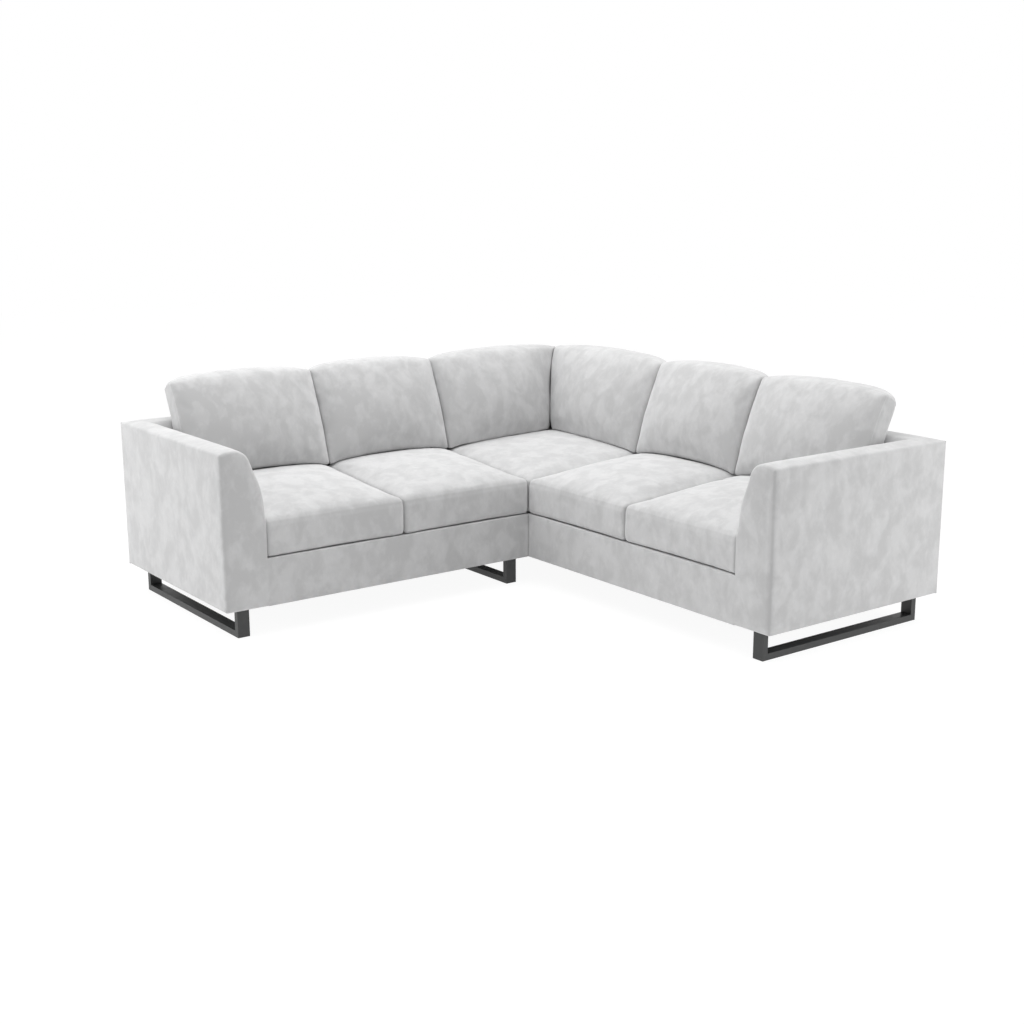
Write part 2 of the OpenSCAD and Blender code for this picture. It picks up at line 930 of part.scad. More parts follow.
// Its foot arches over the crown of the seat that it stands on
module back_cushion(x0, x1, by_arm, mitred) {
    w = (mitred ? wing_len - back_seat_line : x1) - (by_arm ? arm_end(crest_z) : x0);
    rings = back_rings();
    foot_arch = (mitred ? corner_foot_share : foot_share) * seat_crown;
    draws = [foot_arch, mitred ? 0 : cushion_draw, -cushion_arch, by_arm ? 0 : cushion_draw];
    mid_z = cushion_foot_z + cushion_side / 2;
    pts = concat(
        [for (s = rings)
            for (p = ring_pts(w, cushion_side, cushion_corner_r, s[0], draws))
                let (
                    rise = mitred ? corner_rise(p[0] / w, p[1] / cushion_side) : 0,
                    z = cushion_foot_z + p[1] + rise,
                    depth = s[1] == 0 ? cushion_rear(z) - s[2] : cushion_front(z) + s[2]
                )
                back_point(x0, x1, p[0] / w, z, depth, by_arm, mitred)],
        [back_point(x0, x1, 0.5, mid_z, cushion_rear(mid_z) - rear_crown, by_arm, mitred)],
        [back_point(x0, x1, 0.5, mid_z, cushion_front(mid_z) + front_crown, by_arm, mitred)]
    );
    polyhedron(points = pts, faces = skin_faces(len(rings)), convexity = 4);
}

// Foam slab in a back cushion, thicker at the foot than at the top
module back_core(x0, x1, by_arm, mitred, air) {
    lo = (by_arm ? arm_end(cushion_foot_z) : x0) + wrap - air;
    hi = (mitred ? wing_len - back_seat_line - front_crown : x1) - wrap + air;
    z0 = cushion_foot_z + foot_share * seat_crown + seat_wrap - air;
    z1 = cushion_foot_z + cushion_side - wrap + air;
    slack = wrap / 2 - air;
    along_x(lo, hi)
        polygon([
            [cushion_rear(z0) + slack, z0],
            [cushion_front(z0) - slack, z0],
            [cushion_front(z1) - slack, z1],
            [cushion_rear(z1) + slack, z1]
        ]);
}

module back_cover(x0, x1, by_arm, mitred) {
    color(cloth)
        difference() {
            back_cushion(x0, x1, by_arm, mitred);
            back_core(x0, x1, by_arm, mitred, fit);
        }
}

// Places of the cushions along a wing: by the arm, by the joint, and in the corner
half_gap = cushion_gap / 2;
seat_w = seat_pitch - cushion_gap;
corner_seat_w = seat_depth - half_gap;

module seat_at(k) {
    translate([arm_w + k * seat_pitch + half_gap, 0, seat_foot_z])
        children();
}

// The seat in the corner is square, and starts just past the joint
module corner_seat_place() {
    translate([joint_at + half_gap, 0, seat_foot_z])
        children();
}

module arm_back_cover() {
    back_cover(0, arm_w + seat_pitch - half_gap, true, false);
}

module inner_back_cover() {
    back_cover(arm_w + seat_pitch + half_gap, joint_at - half_gap, false, false);
}

module mitred_back_cover() {
    back_cover(joint_at + half_gap, 0, false, true);
}

module arm_back_core() {
    color(foam)
        back_core(0, arm_w + seat_pitch - half_gap, true, false, 0);
}

module inner_back_core() {
    color(foam)
        back_core(arm_w + seat_pitch + half_gap, joint_at - half_gap, false, false, 0);
}

module mitred_back_core() {
    color(foam)
        back_core(joint_at + half_gap, 0, false, true, 0);
}

// Sub-parts of the loveseat module

module loveseat_front_rail() {
    on_left_wing()
        front_rail(loveseat_len - end_skin_t - fit);
}

module loveseat_rear_rail() {
    on_left_wing()
        rear_rail(loveseat_len - end_skin_t - fit);
}

module loveseat_cross_rails() {
    on_left_wing()
        cross_rails(short_rails(), inner_leg_x);
}

module loveseat_glue_blocks() {
    on_left_wing()
        glue_blocks(short_rails());
}

module loveseat_seat_webbing() {
    on_left_wing()
        seat_webbing(loveseat_len - end_skin_t - fit);
}

module loveseat_deck() {
    on_left_wing()
        deck(loveseat_len - end_skin_t - fit);
}

module loveseat_arm_frame() {
    on_left_wing()
        arm_frame();
}

module loveseat_arm_cover() {
    on_left_wing()
        arm_cover();
}

module loveseat_back_frame() {
    on_left_wing()
        back_frame(arm_w + back_pad + fit, loveseat_len - end_skin_t - fit);
}

module loveseat_back_webbing() {
    on_left_wing()
        back_webbing(arm_w + back_pad + fit, loveseat_len - end_skin_t - fit);
}

module loveseat_back_cover() {
    on_left_wing()
        short_back_cover();
}

module loveseat_base_cover() {
    on_left_wing()
        short_base_cover();
}

module loveseat_dust_cover() {
    on_left_wing()
        dust_cover(loveseat_len, [leg_side_inset, inner_leg_x]);
}

module loveseat_arm_leg() {
    on_left_wing()
        sled_leg(leg_side_inset);
}

module loveseat_inner_leg() {
    on_left_wing()
        sled_leg(inner_leg_x);
}

module loveseat_leg_glides() {
    on_left_wing() {
        glides(leg_side_inset);
        glides(inner_leg_x);
    }
}

module loveseat_screws() {
    on_left_wing() {
        leg_screws(leg_side_inset);
        leg_screws(inner_leg_x);
    }
}

module loveseat_connector_tongues() {
    connector_tongues();
}

// Sub-parts of the long corner module

module corner_front_rail() {
    on_right_wing()
        front_rail(wing_len - rail_back);
}

module corner_rear_rail() {
    on_right_wing()
        rear_rail(wing_len - rail_back);
}

module corner_cross_rails() {
    on_right_wing()
        cross_rails(long_rails(), end_leg_x);
}

module corner_glue_blocks() {
    on_right_wing()
        glue_blocks(long_rails());
}

module corner_seat_webbing() {
    on_right_wing()
        seat_webbing(wing_len - rail_back);
}

module corner_deck() {
    on_right_wing()
        deck(wing_len - rail_back - fit);
}

module corner_arm_frame() {
    on_right_wing()
        arm_frame();
}

module corner_arm_cover() {
    on_right_wing()
        arm_cover();
}

module corner_back_frame() {
    on_right_wing()
        back_frame(arm_w + back_pad + fit, wing_len - skin_t - fit);
}

module corner_return_frame() {
    on_right_wing()
        swap_ends()
            back_frame(joint_at + band_t + fit, wing_len - cavity_w);
}

module corner_back_webbing() {
    on_right_wing() {
        back_webbing(arm_w + back_pad + fit, wing_len - cavity_w);
        swap_ends()
            back_webbing(joint_at + band_t + fit, wing_len - cavity_w);
    }
}

module corner_back_cover() {
    on_right_wing()
        long_back_cover();
}

module corner_return_cover() {
    on_right_wing()
        return_cover();
}

module corner_base_cover() {
    on_right_wing()
        long_base_cover();
}

module corner_dust_cover() {
    on_right_wing()
        dust_cover(wing_len, [leg_side_inset, end_leg_x]);
}

module corner_arm_leg() {
    on_right_wing()
        sled_leg(leg_side_inset);
}

module corner_end_leg() {
    on_right_wing()
        sled_leg(end_leg_x);
}

module corner_leg_glides() {
    on_right_wing() {
        glides(leg_side_inset);
        glides(end_leg_x);
    }
}

module corner_screws() {
    on_right_wing() {
        leg_screws(leg_side_inset);
        leg_screws(end_leg_x);
    }
}

module corner_connector_jaws() {
    connector_jaws();
}

// Cushions of the loveseat module, each with its foam core

module loveseat_seat_cushion_arm() {
    on_left_wing()
        seat_at(0)
            seat_cover(seat_w, seat_depth);
}

module loveseat_seat_core_arm() {
    on_left_wing()
        seat_at(0)
            seat_foam(seat_w, seat_depth);
}

module loveseat_seat_cushion_inner() {
    on_left_wing()
        seat_at(1)
            seat_cover(seat_w, seat_depth);
}

module loveseat_seat_core_inner() {
    on_left_wing()
        seat_at(1)
            seat_foam(seat_w, seat_depth);
}

module loveseat_back_cushion_arm() {
    on_left_wing()
        arm_back_cover();
}

module loveseat_back_core_arm() {
    on_left_wing()
        arm_back_core();
}

module loveseat_back_cushion_inner() {
    on_left_wing()
        inner_back_cover();
}

module loveseat_back_core_inner() {
    on_left_wing()
        inner_back_core();
}

// Cushions of the long module. The square seat in the corner carries two back cushions.

module corner_seat_cushion_arm() {
    on_right_wing()
        seat_at(0)
            seat_cover(seat_w, seat_depth);
}

module corner_seat_core_arm() {
    on_right_wing()
        seat_at(0)
            seat_foam(seat_w, seat_depth);
}

module corner_seat_cushion_inner() {
    on_right_wing()
        seat_at(1)
            seat_cover(seat_w, seat_depth);
}

module corner_seat_core_inner() {
    on_right_wing()
        seat_at(1)
            seat_foam(seat_w, seat_depth);
}

module corner_seat_cushion_corner() {
    on_right_wing()
        corner_seat_place()
            seat_cover(corner_seat_w, seat_depth, true);
}

module corner_seat_core_corner() {
    on_right_wing()
        corner_seat_place()
            seat_foam(corner_seat_w, seat_depth);
}

module corner_back_cushion_return() {
    on_left_wing()
        mitred_back_cover();
}

module corner_back_core_return() {
    on_left_wing()
        mitred_back_core();
}

module corner_back_cushion_corner() {
    on_right_wing()
        mitred_back_cover();
}

module corner_back_core_corner() {
    on_right_wing()
        mitred_back_core();
}

module corner_back_cushion_inner() {
    on_right_wing()
        inner_back_cover();
}

module corner_back_core_inner() {
    on_right_wing()
        inner_back_core();
}

module corner_back_cushion_arm() {
    on_right_wing()
        arm_back_cover();
}

module corner_back_core_arm() {
    on_right_wing()
        arm_back_core();
}

loveseat_front_rail();
loveseat_rear_rail();
loveseat_cross_rails();
loveseat_glue_blocks();
loveseat_seat_webbing();
loveseat_deck();
loveseat_arm_frame();
loveseat_arm_cover();
loveseat_back_frame();
loveseat_back_webbing();
loveseat_back_cover();
loveseat_base_cover();
loveseat_dust_cover();
loveseat_arm_leg();
loveseat_inner_leg();
loveseat_leg_glides();
loveseat_screws();
loveseat_connector_tongues();
corner_front_rail();
corner_rear_rail();
corner_cross_rails();
corner_glue_blocks();
corner_seat_webbing();
corner_deck();
corner_arm_frame();
corner_arm_cover();
corner_back_frame();
corner_return_frame();
corner_back_webbing();
corner_back_cover();
corner_return_cover();
corner_base_cover();
corner_dust_cover();
corner_arm_leg();
corner_end_leg();
corner_leg_glides();
corner_screws();
corner_connector_jaws();
loveseat_seat_cushion_arm();
loveseat_seat_core_arm();
loveseat_seat_cushion_inner();
loveseat_seat_core_inner();
loveseat_back_cushion_arm();
loveseat_back_core_arm();
loveseat_back_cushion_inner();
loveseat_back_core_inner();
corner_seat_cushion_arm();
corner_seat_core_arm();
corner_seat_cushion_inner();
corner_seat_core_inner();
corner_seat_cushion_corner();
corner_seat_core_corner();
corner_back_cushion_return();
corner_back_core_return();
corner_back_cushion_corner();
corner_back_core_corner();
corner_back_cushion_inner();
corner_back_core_inner();
corner_back_cushion_arm();
corner_back_core_arm();
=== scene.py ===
# %% [markdown]
# # A corner sofa in pale crushed velvet
#
# The sofa is two upholstered modules on black sled legs, with loose boxed cushions.
# Its wood, steel, foam and belts come ready made in the frame and only get a finish here.
# What is sewn is modelled here: first the cloth skins of the arms, backs and base, then
# the cushions, which are blown up by a cloth simulation as a real filling does it.

# %% Load the frame
import json
import math

import bmesh
import bpy
import numpy as np
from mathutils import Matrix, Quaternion, Vector, noise
from mathutils.bvhtree import BVHTree
from mathutils.kdtree import KDTree


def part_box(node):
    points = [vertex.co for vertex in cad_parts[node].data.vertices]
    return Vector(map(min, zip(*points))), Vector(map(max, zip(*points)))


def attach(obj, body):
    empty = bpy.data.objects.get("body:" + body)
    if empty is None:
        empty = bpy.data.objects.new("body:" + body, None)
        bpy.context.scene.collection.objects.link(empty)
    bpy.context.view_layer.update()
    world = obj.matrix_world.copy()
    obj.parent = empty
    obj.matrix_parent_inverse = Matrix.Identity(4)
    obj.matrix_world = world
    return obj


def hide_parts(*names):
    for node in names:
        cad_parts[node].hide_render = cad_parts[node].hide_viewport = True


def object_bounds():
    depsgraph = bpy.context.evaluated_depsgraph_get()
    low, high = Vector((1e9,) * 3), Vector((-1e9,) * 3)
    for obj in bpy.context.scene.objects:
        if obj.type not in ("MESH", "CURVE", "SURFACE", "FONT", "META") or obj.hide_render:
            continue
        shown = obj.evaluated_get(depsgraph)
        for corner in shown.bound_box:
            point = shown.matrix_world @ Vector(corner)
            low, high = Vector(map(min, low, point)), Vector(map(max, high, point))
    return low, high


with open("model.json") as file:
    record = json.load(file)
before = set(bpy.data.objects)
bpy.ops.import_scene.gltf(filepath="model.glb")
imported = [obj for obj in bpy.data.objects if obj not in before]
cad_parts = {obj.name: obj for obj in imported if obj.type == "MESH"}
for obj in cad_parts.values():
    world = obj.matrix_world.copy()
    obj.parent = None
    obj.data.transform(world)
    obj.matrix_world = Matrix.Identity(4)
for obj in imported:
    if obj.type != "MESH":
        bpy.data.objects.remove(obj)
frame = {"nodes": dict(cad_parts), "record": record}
cad_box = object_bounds()

# %% [markdown]
# ## One wing, used twice
#
# Both wings of the sofa have the same layout, mirrored about the diagonal of the corner.
# A piece could be placed in the room directly, but then each one would be worked out
# twice. So pieces are drawn in wing measures: x runs along the wing from the outside of
# the arm, y from the seat front to the outside of the back, z up.

# %% Wing measures
HALF = cad_box[1][0]
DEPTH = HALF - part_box("loveseat_arm_cover")[0][1]
SET_BACK = HALF - DEPTH


def to_room(points, wing):
    """Wing points as room points."""
    x, y, z = np.asarray(points, float).reshape(-1, 3).T
    along, across = x - HALF, y + SET_BACK
    return np.stack([along, across, z] if wing == "left" else [across, along, z], axis=1)


def to_wing(points, wing):
    """Room points as wing points."""
    x, y, z = np.asarray(points, float).reshape(-1, 3).T
    along, across = (x, y) if wing == "left" else (y, x)
    return np.stack([along + HALF, across - SET_BACK, z], axis=1)


def wing_box(node, wing):
    """Lowest and highest corner of a frame node, in wing measures."""
    corners = to_wing([list(corner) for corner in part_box(node)], wing)
    return corners.min(0), corners.max(0)


print("wing length", round(2 * HALF, 3), "depth", round(DEPTH, 3))

# %% [markdown]
# ## Shared effects of the finishes
#
# Crushed velvet looks cloudy because its pile lies in patches that lean different ways.
# A photograph of velvet could be wrapped on, but it would repeat and carry its own light.
# Noise that is pulled out of shape gives such patches anywhere on the sofa, so it is built
# once as a node group and placed in every cloth with that cloth's own sizes. Plain weave and
# the marks of handling are the other two effects that several finishes share.


# %% Node group helpers
def new_group(name, inputs, outputs):
    """Empty shader node group with float inputs and named outputs."""
    group = bpy.data.node_groups.new(name, "ShaderNodeTree")
    group.interface.new_socket("Place", in_out="INPUT", socket_type="NodeSocketVector")
    for label, value in inputs.items():
        socket = group.interface.new_socket(label, in_out="INPUT", socket_type="NodeSocketFloat")
        socket.default_value = value
    for label in outputs:
        group.interface.new_socket(label, in_out="OUTPUT", socket_type="NodeSocketFloat")
    return group, group.nodes.new("NodeGroupInput"), group.nodes.new("NodeGroupOutput")


def feed(tree, node, sockets):
    """Sets sockets of a node: a number stays a number, a socket becomes a link."""
    for key, value in sockets.items():
        if isinstance(value, bpy.types.NodeSocket):
            tree.links.new(value, node.inputs[key])
        else:
            node.inputs[key].default_value = value
    return node


def add(tree, kind, sockets=None, **settings):
    """New node of a kind, with its settings and sockets."""
    node = tree.nodes.new(kind)
    for key, value in settings.items():
        setattr(node, key, value)
    return feed(tree, node, sockets or {})


def maths(tree, operation, a, b=0.0, c=0.0):
    """Result socket of a sum on up to three numbers or sockets."""
    node = add(tree, "ShaderNodeMath", {0: a, 1: b, 2: c}, operation=operation)
    return node.outputs[0]


def steps(tree, value, low, high):
    """Result socket of a smooth step from 0 at low to 1 at high."""
    node = add(
        tree,
        "ShaderNodeMapRange",
        {"Value": value, "From Min": low, "From Max": high},
        interpolation_type="SMOOTHSTEP",
    )
    return node.outputs["Result"]


print("helpers:", ", ".join(helper.__name__ for helper in (new_group, feed, add, maths, steps)))

# %% Crushed pile group
PATCH_EDGES = (0.36, 0.64)
FLECK_EDGES = (0.42, 0.72)
FLECKS_PER_PATCH = 3.2
FLECK_SHARE = 0.3
LIE_SHARE = 0.6


def crushed_pile():
    """Shade is the cloudy tone from 0 to 1, Height the lie of the pile with its fuzz."""
    sizes = {"Patch Size": 0.075, "Streak": 0.75, "Fuzz Size": 0.002}
    group, inside, out = new_group("crushed pile", sizes, ["Shade", "Height"])
    place = inside.outputs["Place"]
    patch, streak = inside.outputs["Patch Size"], inside.outputs["Streak"]
    upright = add(group, "ShaderNodeCombineXYZ", {"X": 1.0, "Y": 1.0, "Z": streak})
    pulled = add(
        group, "ShaderNodeVectorMath", {0: place, 1: upright.outputs[0]}, operation="MULTIPLY"
    )
    rate = maths(group, "DIVIDE", 1.0, patch)
    finer_rate = maths(group, "MULTIPLY", rate, FLECKS_PER_PATCH)
    broad = add(
        group,
        "ShaderNodeTexNoise",
        {"Vector": pulled.outputs[0], "Scale": rate, "Detail": 4.0, "Roughness": 0.55,
         "Distortion": 0.35},
    )
    small = add(
        group,
        "ShaderNodeTexNoise",
        {"Vector": pulled.outputs[0], "Scale": finer_rate, "Detail": 3.0, "Roughness": 0.6,
         "Distortion": 0.2},
    )
    patches = steps(group, broad.outputs["Fac"], *PATCH_EDGES)
    flecks = steps(group, small.outputs["Fac"], *FLECK_EDGES)
    rest = maths(group, "MULTIPLY", patches, 1 - FLECK_SHARE)
    shade = maths(group, "MULTIPLY_ADD", flecks, FLECK_SHARE, rest)
    fuzz = add(
        group,
        "ShaderNodeTexNoise",
        {"Vector": place, "Scale": maths(group, "DIVIDE", 1.0, inside.outputs["Fuzz Size"]),
         "Detail": 2.0, "Roughness": 0.7},
    )
    height = maths(group, "MULTIPLY_ADD", shade, LIE_SHARE, fuzz.outputs["Fac"])
    feed(group, out, {"Shade": shade, "Height": height})
    return group


PILE = crushed_pile()
print("group:", PILE.name)

# %% [markdown]
# A weave is threads that cross. An image of one repeats and blurs, and threads modelled one
# by one would be millions. Two sine waves that are multiplied give the grid of their
# crossings, and a little noise makes the threads uneven, as spun yarn is. Where the weave is low
# the colour is darker, which is painted shade between the threads.

# %% Plain weave group
FULL_TURN = 6.2832
SLUBS_PER_METRE = 160.0


def plain_weave():
    """Shade and Height of crossing threads, for the deck, the lining and the belts; Shade is
    painted shade where the weave is low, plus uneven yarn.
    """
    group, inside, out = new_group("plain weave", {"Thread": 0.0012}, ["Shade", "Height"])
    place = inside.outputs["Place"]
    rate = maths(group, "DIVIDE", FULL_TURN, inside.outputs["Thread"])
    parts = add(group, "ShaderNodeSeparateXYZ", {0: place})
    waves = [
        maths(group, "SINE", maths(group, "MULTIPLY", parts.outputs[axis], rate))
        for axis in "XYZ"
    ]
    crossed = maths(group, "MULTIPLY", waves[0], waves[1])
    height = maths(group, "MULTIPLY_ADD", maths(group, "ADD", crossed, waves[2]), 0.25, 0.5)
    slubs = add(
        group, "ShaderNodeTexNoise", {"Vector": place, "Scale": SLUBS_PER_METRE, "Detail": 3.0}
    )
    uneven = maths(group, "MULTIPLY", slubs.outputs["Fac"], 0.5)
    # Darker where the weave is low: painted shade between the threads; the slubs are uneven yarn.
    shade = maths(group, "MULTIPLY_ADD", height, 0.5, uneven)
    feed(group, out, {"Shade": shade, "Height": height})
    return group


WEAVE = plain_weave()
print("group:", WEAVE.name)

# %% [markdown]
# Steel, zinc and plastic under a sofa gather dust and scuffs. Painting them by hand would
# need a picture for each piece, so the marks are cloudy noise cut off at a level, and a much
# finer noise stands for the skin of the coating.

# %% Handling marks group
MARK_EDGES = (0.5, 0.78)


def handling_marks():
    """Marks is 1 in scuffs and dust on hard pieces, Height is their fine skin."""
    sizes = {"Mark Size": 0.05, "Skin": 0.0015}
    group, inside, out = new_group("handling marks", sizes, ["Marks", "Height"])
    place = inside.outputs["Place"]
    cloud = add(
        group,
        "ShaderNodeTexNoise",
        {"Vector": place, "Scale": maths(group, "DIVIDE", 1.0, inside.outputs["Mark Size"]),
         "Detail": 6.0, "Roughness": 0.7, "Distortion": 0.5},
    )
    skin_rate = maths(group, "DIVIDE", 1.0, inside.outputs["Skin"])
    skin = add(
        group, "ShaderNodeTexNoise", {"Vector": place, "Scale": skin_rate, "Detail": 2.0}
    )
    marks = steps(group, cloud.outputs["Fac"], *MARK_EDGES)
    feed(group, out, {"Marks": marks, "Height": skin.outputs["Fac"]})
    return group


MARKS = handling_marks()
print("group:", MARKS.name)


# %% [markdown]
# Every finish starts alike: a Principled shader and the place of each point on its piece.
# Object coordinates are used and not the room's, so that the pattern stays on a cushion
# when the cushion moves.

# %% Finish helpers
def new_finish(name):
    """Material with an empty Principled shader and the place of each point on the piece."""
    finish = bpy.data.materials.new(name)
    finish.use_nodes = True
    tree = finish.node_tree
    shader = tree.nodes["Principled BSDF"]
    place = add(tree, "ShaderNodeTexCoord").outputs["Object"]
    return finish, tree, shader, place


def use_group(tree, group, sockets):
    """A shared effect placed in a material with its own values."""
    node = add(tree, "ShaderNodeGroup", node_tree=group)
    return feed(tree, node, sockets)


def tone(tree, mask, dark, light):
    """Colour socket that goes from dark to light with a mask."""
    mix = add(tree, "ShaderNodeMix", data_type="RGBA")
    feed(tree, mix, {0: mask, 6: (*dark, 1.0), 7: (*light, 1.0)})
    return mix.outputs[2]


def relief(tree, height, depth, strength=1.0):
    """Normal socket of a bump that is depth metres deep."""
    bump = add(tree, "ShaderNodeBump", {"Height": height, "Distance": depth, "Strength": strength})
    return bump.outputs["Normal"]


print("shared effects:", [group.name for group in bpy.data.node_groups])

# %% [markdown]
# ## Velvet
#
# The cover is a silver-grey velvet. Looked at squarely it shows its dark pile, and where it turns
# away its sheen makes it bright, which is why the seats look nearly white and the fronts below
# them grey under the same light. The shader's sheen alone gives only a thin rim of this, so the
# colour itself goes from dark to light with the facing angle: that is painted sheen. The clouds
# from the group stand for pile that leans one way or another, so they shift that angle, and the
# fuzz gives the cloth its grain close up.


# %% Velvet
def velvet(name, square_on_tone, grazing_sheen_tone, cloudy):
    finish, tree, shader, place = new_finish(name)
    pile = use_group(tree, PILE, {"Place": place})
    # The colour grows lighter where the cloth turns away from the camera: painted sheen.
    turned = add(tree, "ShaderNodeLayerWeight", {"Blend": 0.5}).outputs["Facing"]
    lean = maths(tree, "MULTIPLY", maths(tree, "SUBTRACT", pile.outputs["Shade"], 0.5), cloudy)
    feed(
        tree,
        shader,
        {
            "Base Color": tone(tree, maths(tree, "ADD", turned, lean), square_on_tone, grazing_sheen_tone),
            "Roughness": maths(tree, "MULTIPLY_ADD", pile.outputs["Shade"], -0.12, 0.92),
            "Normal": relief(tree, pile.outputs["Height"], 0.0007, 0.5),
            "Specular IOR Level": 0.2,
            "Sheen Weight": 0.1,
            "Sheen Roughness": 0.4,
        },
    )
    return finish


# The lighter tone is the painted sheen of cloth seen at a grazing angle.
VELVET = velvet(
    "silver velvet", square_on_tone=(0.5, 0.5, 0.502), grazing_sheen_tone=(0.745, 0.745, 0.747), cloudy=0.42
)
print("finish:", VELVET.name)

# %% [markdown]
# ## Cloths that are seldom seen
#
# Under the cushions lies a plain grey deck cloth, under the base a black lining, and inside
# run rubber belts. They are woven, so all three use the weave group with their own thread.


# %% Woven cloths
def woven(name, dark, light, thread, depth):
    finish, tree, shader, place = new_finish(name)
    weave = use_group(tree, WEAVE, {"Place": place, "Thread": thread})
    feed(
        tree,
        shader,
        {
            # The darker tone sits where the weave is low: painted shade between the threads.
            "Base Color": tone(tree, weave.outputs["Shade"], dark, light),
            "Roughness": maths(tree, "MULTIPLY_ADD", weave.outputs["Shade"], -0.1, 0.95),
            "Normal": relief(tree, weave.outputs["Height"], depth, 0.6),
            "Specular IOR Level": 0.2,
        },
    )
    return finish


DECK_CLOTH = woven(
    "deck cloth", dark=(0.44, 0.44, 0.45), light=(0.6, 0.6, 0.6), thread=0.0016, depth=0.0004
)
LINING = woven(
    "black lining", dark=(0.012, 0.012, 0.014), light=(0.04, 0.04, 0.045), thread=0.0012,
    depth=0.0003,
)
BELT = woven(
    "rubber belt", dark=(0.03, 0.03, 0.035), light=(0.16, 0.15, 0.14), thread=0.0028,
    depth=0.0005,
)
print("finishes:", DECK_CLOTH.name, LINING.name, BELT.name)

# %% [markdown]
# ## Foam and wood
#
# Foam is full of small open cells. They could be cut into its mesh, but a Voronoi pattern
# gives them at no cost in faces, as a pit with a little relief whose darker colour is painted
# shade.


# %% Foam
PORES_PER_METRE = 420.0


def foam_finish():
    finish, tree, shader, place = new_finish("cushion foam")
    cells = add(tree, "ShaderNodeTexVoronoi", {"Vector": place, "Scale": PORES_PER_METRE})
    pores = steps(tree, cells.outputs["Distance"], 0.1, 0.7)
    feed(
        tree,
        shader,
        {
            # The pores are darker: painted shade inside the open cells.
            "Base Color": tone(tree, pores, (0.62, 0.55, 0.33), (0.86, 0.8, 0.6)),
            "Roughness": maths(tree, "MULTIPLY_ADD", pores, 0.08, 0.88),
            "Normal": relief(tree, pores, 0.0012, 0.7),
        },
    )
    return finish


FOAM = foam_finish()
print("finish:", FOAM.name)

# %% [markdown]
# The frame is birch plywood and pine. Long stretched noise makes the grain, and a little of
# it goes into the relief, as sawn wood is never quite smooth. Growth rings would look truer
# on the ends of the boards, but these stay inside the sofa.

# %% Wood
GRAIN_STRETCH = (3.0, 3.0, 34.0)


def wood_finish():
    finish, tree, shader, place = new_finish("birch and pine")
    stretched = add(
        tree, "ShaderNodeVectorMath", {0: place, 1: GRAIN_STRETCH}, operation="MULTIPLY"
    )
    grain = add(
        tree,
        "ShaderNodeTexNoise",
        {"Vector": stretched.outputs[0], "Scale": 4.0, "Detail": 8.0, "Roughness": 0.6,
         "Distortion": 1.4},
    )
    fibres = steps(tree, grain.outputs["Fac"], 0.3, 0.7)
    feed(
        tree,
        shader,
        {
            "Base Color": tone(tree, fibres, (0.46, 0.3, 0.16), (0.72, 0.55, 0.36)),
            "Roughness": maths(tree, "MULTIPLY_ADD", fibres, -0.15, 0.75),
            "Normal": relief(tree, fibres, 0.0003, 0.6),
        },
    )
    return finish


WOOD = wood_finish()
print("finish:", WOOD.name)

# %% [markdown]
# ## Hard finishes
#
# The sled legs are powder coated: charcoal, half matt, with a very fine orange-peel skin and
# a little dust. Screws and connectors are zinc plated, the glides are black plastic. All
# three share the marks group and differ in colour, metal and gloss.


# %% Coated steel, zinc and plastic
def hard(name, clean, marked, metallic, rough, mark_size, skin):
    finish, tree, shader, place = new_finish(name)
    marks = use_group(tree, MARKS, {"Place": place, "Mark Size": mark_size, "Skin": skin})
    feed(
        tree,
        shader,
        {
            "Base Color": tone(tree, marks.outputs["Marks"], clean, marked),
            "Metallic": metallic,
            "Roughness": maths(tree, "MULTIPLY_ADD", marks.outputs["Marks"], 0.18, rough),
            "Normal": relief(tree, marks.outputs["Height"], 0.0002, 0.35),
        },
    )
    return finish


COATED = hard(
    "charcoal powder coat", clean=(0.036, 0.037, 0.037), marked=(0.06, 0.06, 0.058),
    metallic=0.0, rough=0.42, mark_size=0.04, skin=0.0012,
)
ZINC = hard(
    "zinc plate", clean=(0.55, 0.56, 0.55), marked=(0.42, 0.42, 0.38),
    metallic=1.0, rough=0.32, mark_size=0.012, skin=0.0006,
)
GLIDE = hard(
    "glide plastic", clean=(0.02, 0.02, 0.02), marked=(0.06, 0.06, 0.06),
    metallic=0.0, rough=0.5, mark_size=0.02, skin=0.001,
)
print("finishes:", COATED.name, ZINC.name, GLIDE.name)

# %% [markdown]
# ## Frame pieces that keep their shape
#
# Wood, steel, foam, belts, screws and glides are right as they are. Each takes the finish of
# its slot in the record. The tube of the legs has mitred corners that a grinder has just
# eased, so a narrow bevel is laid over its sharp edges.

# %% Finishes of the frame pieces
FINISH_OF_SLOT = {
    "frame_wood": WOOD,
    "cushion_foam": FOAM,
    "elastic_webbing": BELT,
    "leg_steel": COATED,
    "zinc_steel": ZINC,
    "glide_plastic": GLIDE,
}
EASED = {"leg_steel": 0.0008, "glide_plastic": 0.0006, "zinc_steel": 0.0004}
SMALL_BEVEL_ANGLE = math.radians(40)
kept = 0
for part in frame["record"]["subparts"]:
    finish = FINISH_OF_SLOT.get(part["material_slot"])
    if finish is None:
        continue
    piece = frame["nodes"][part["node"]]
    piece.data.materials.clear()
    piece.data.materials.append(finish)
    if part["material_slot"] in EASED:
        bevel = piece.modifiers.new("eased edges", "BEVEL")
        bevel.width = EASED[part["material_slot"]]
        bevel.segments = 2
        bevel.limit_method = "ANGLE"
        bevel.angle_limit = SMALL_BEVEL_ANGLE
    kept += 1
print("frame pieces that keep their shape:", kept)

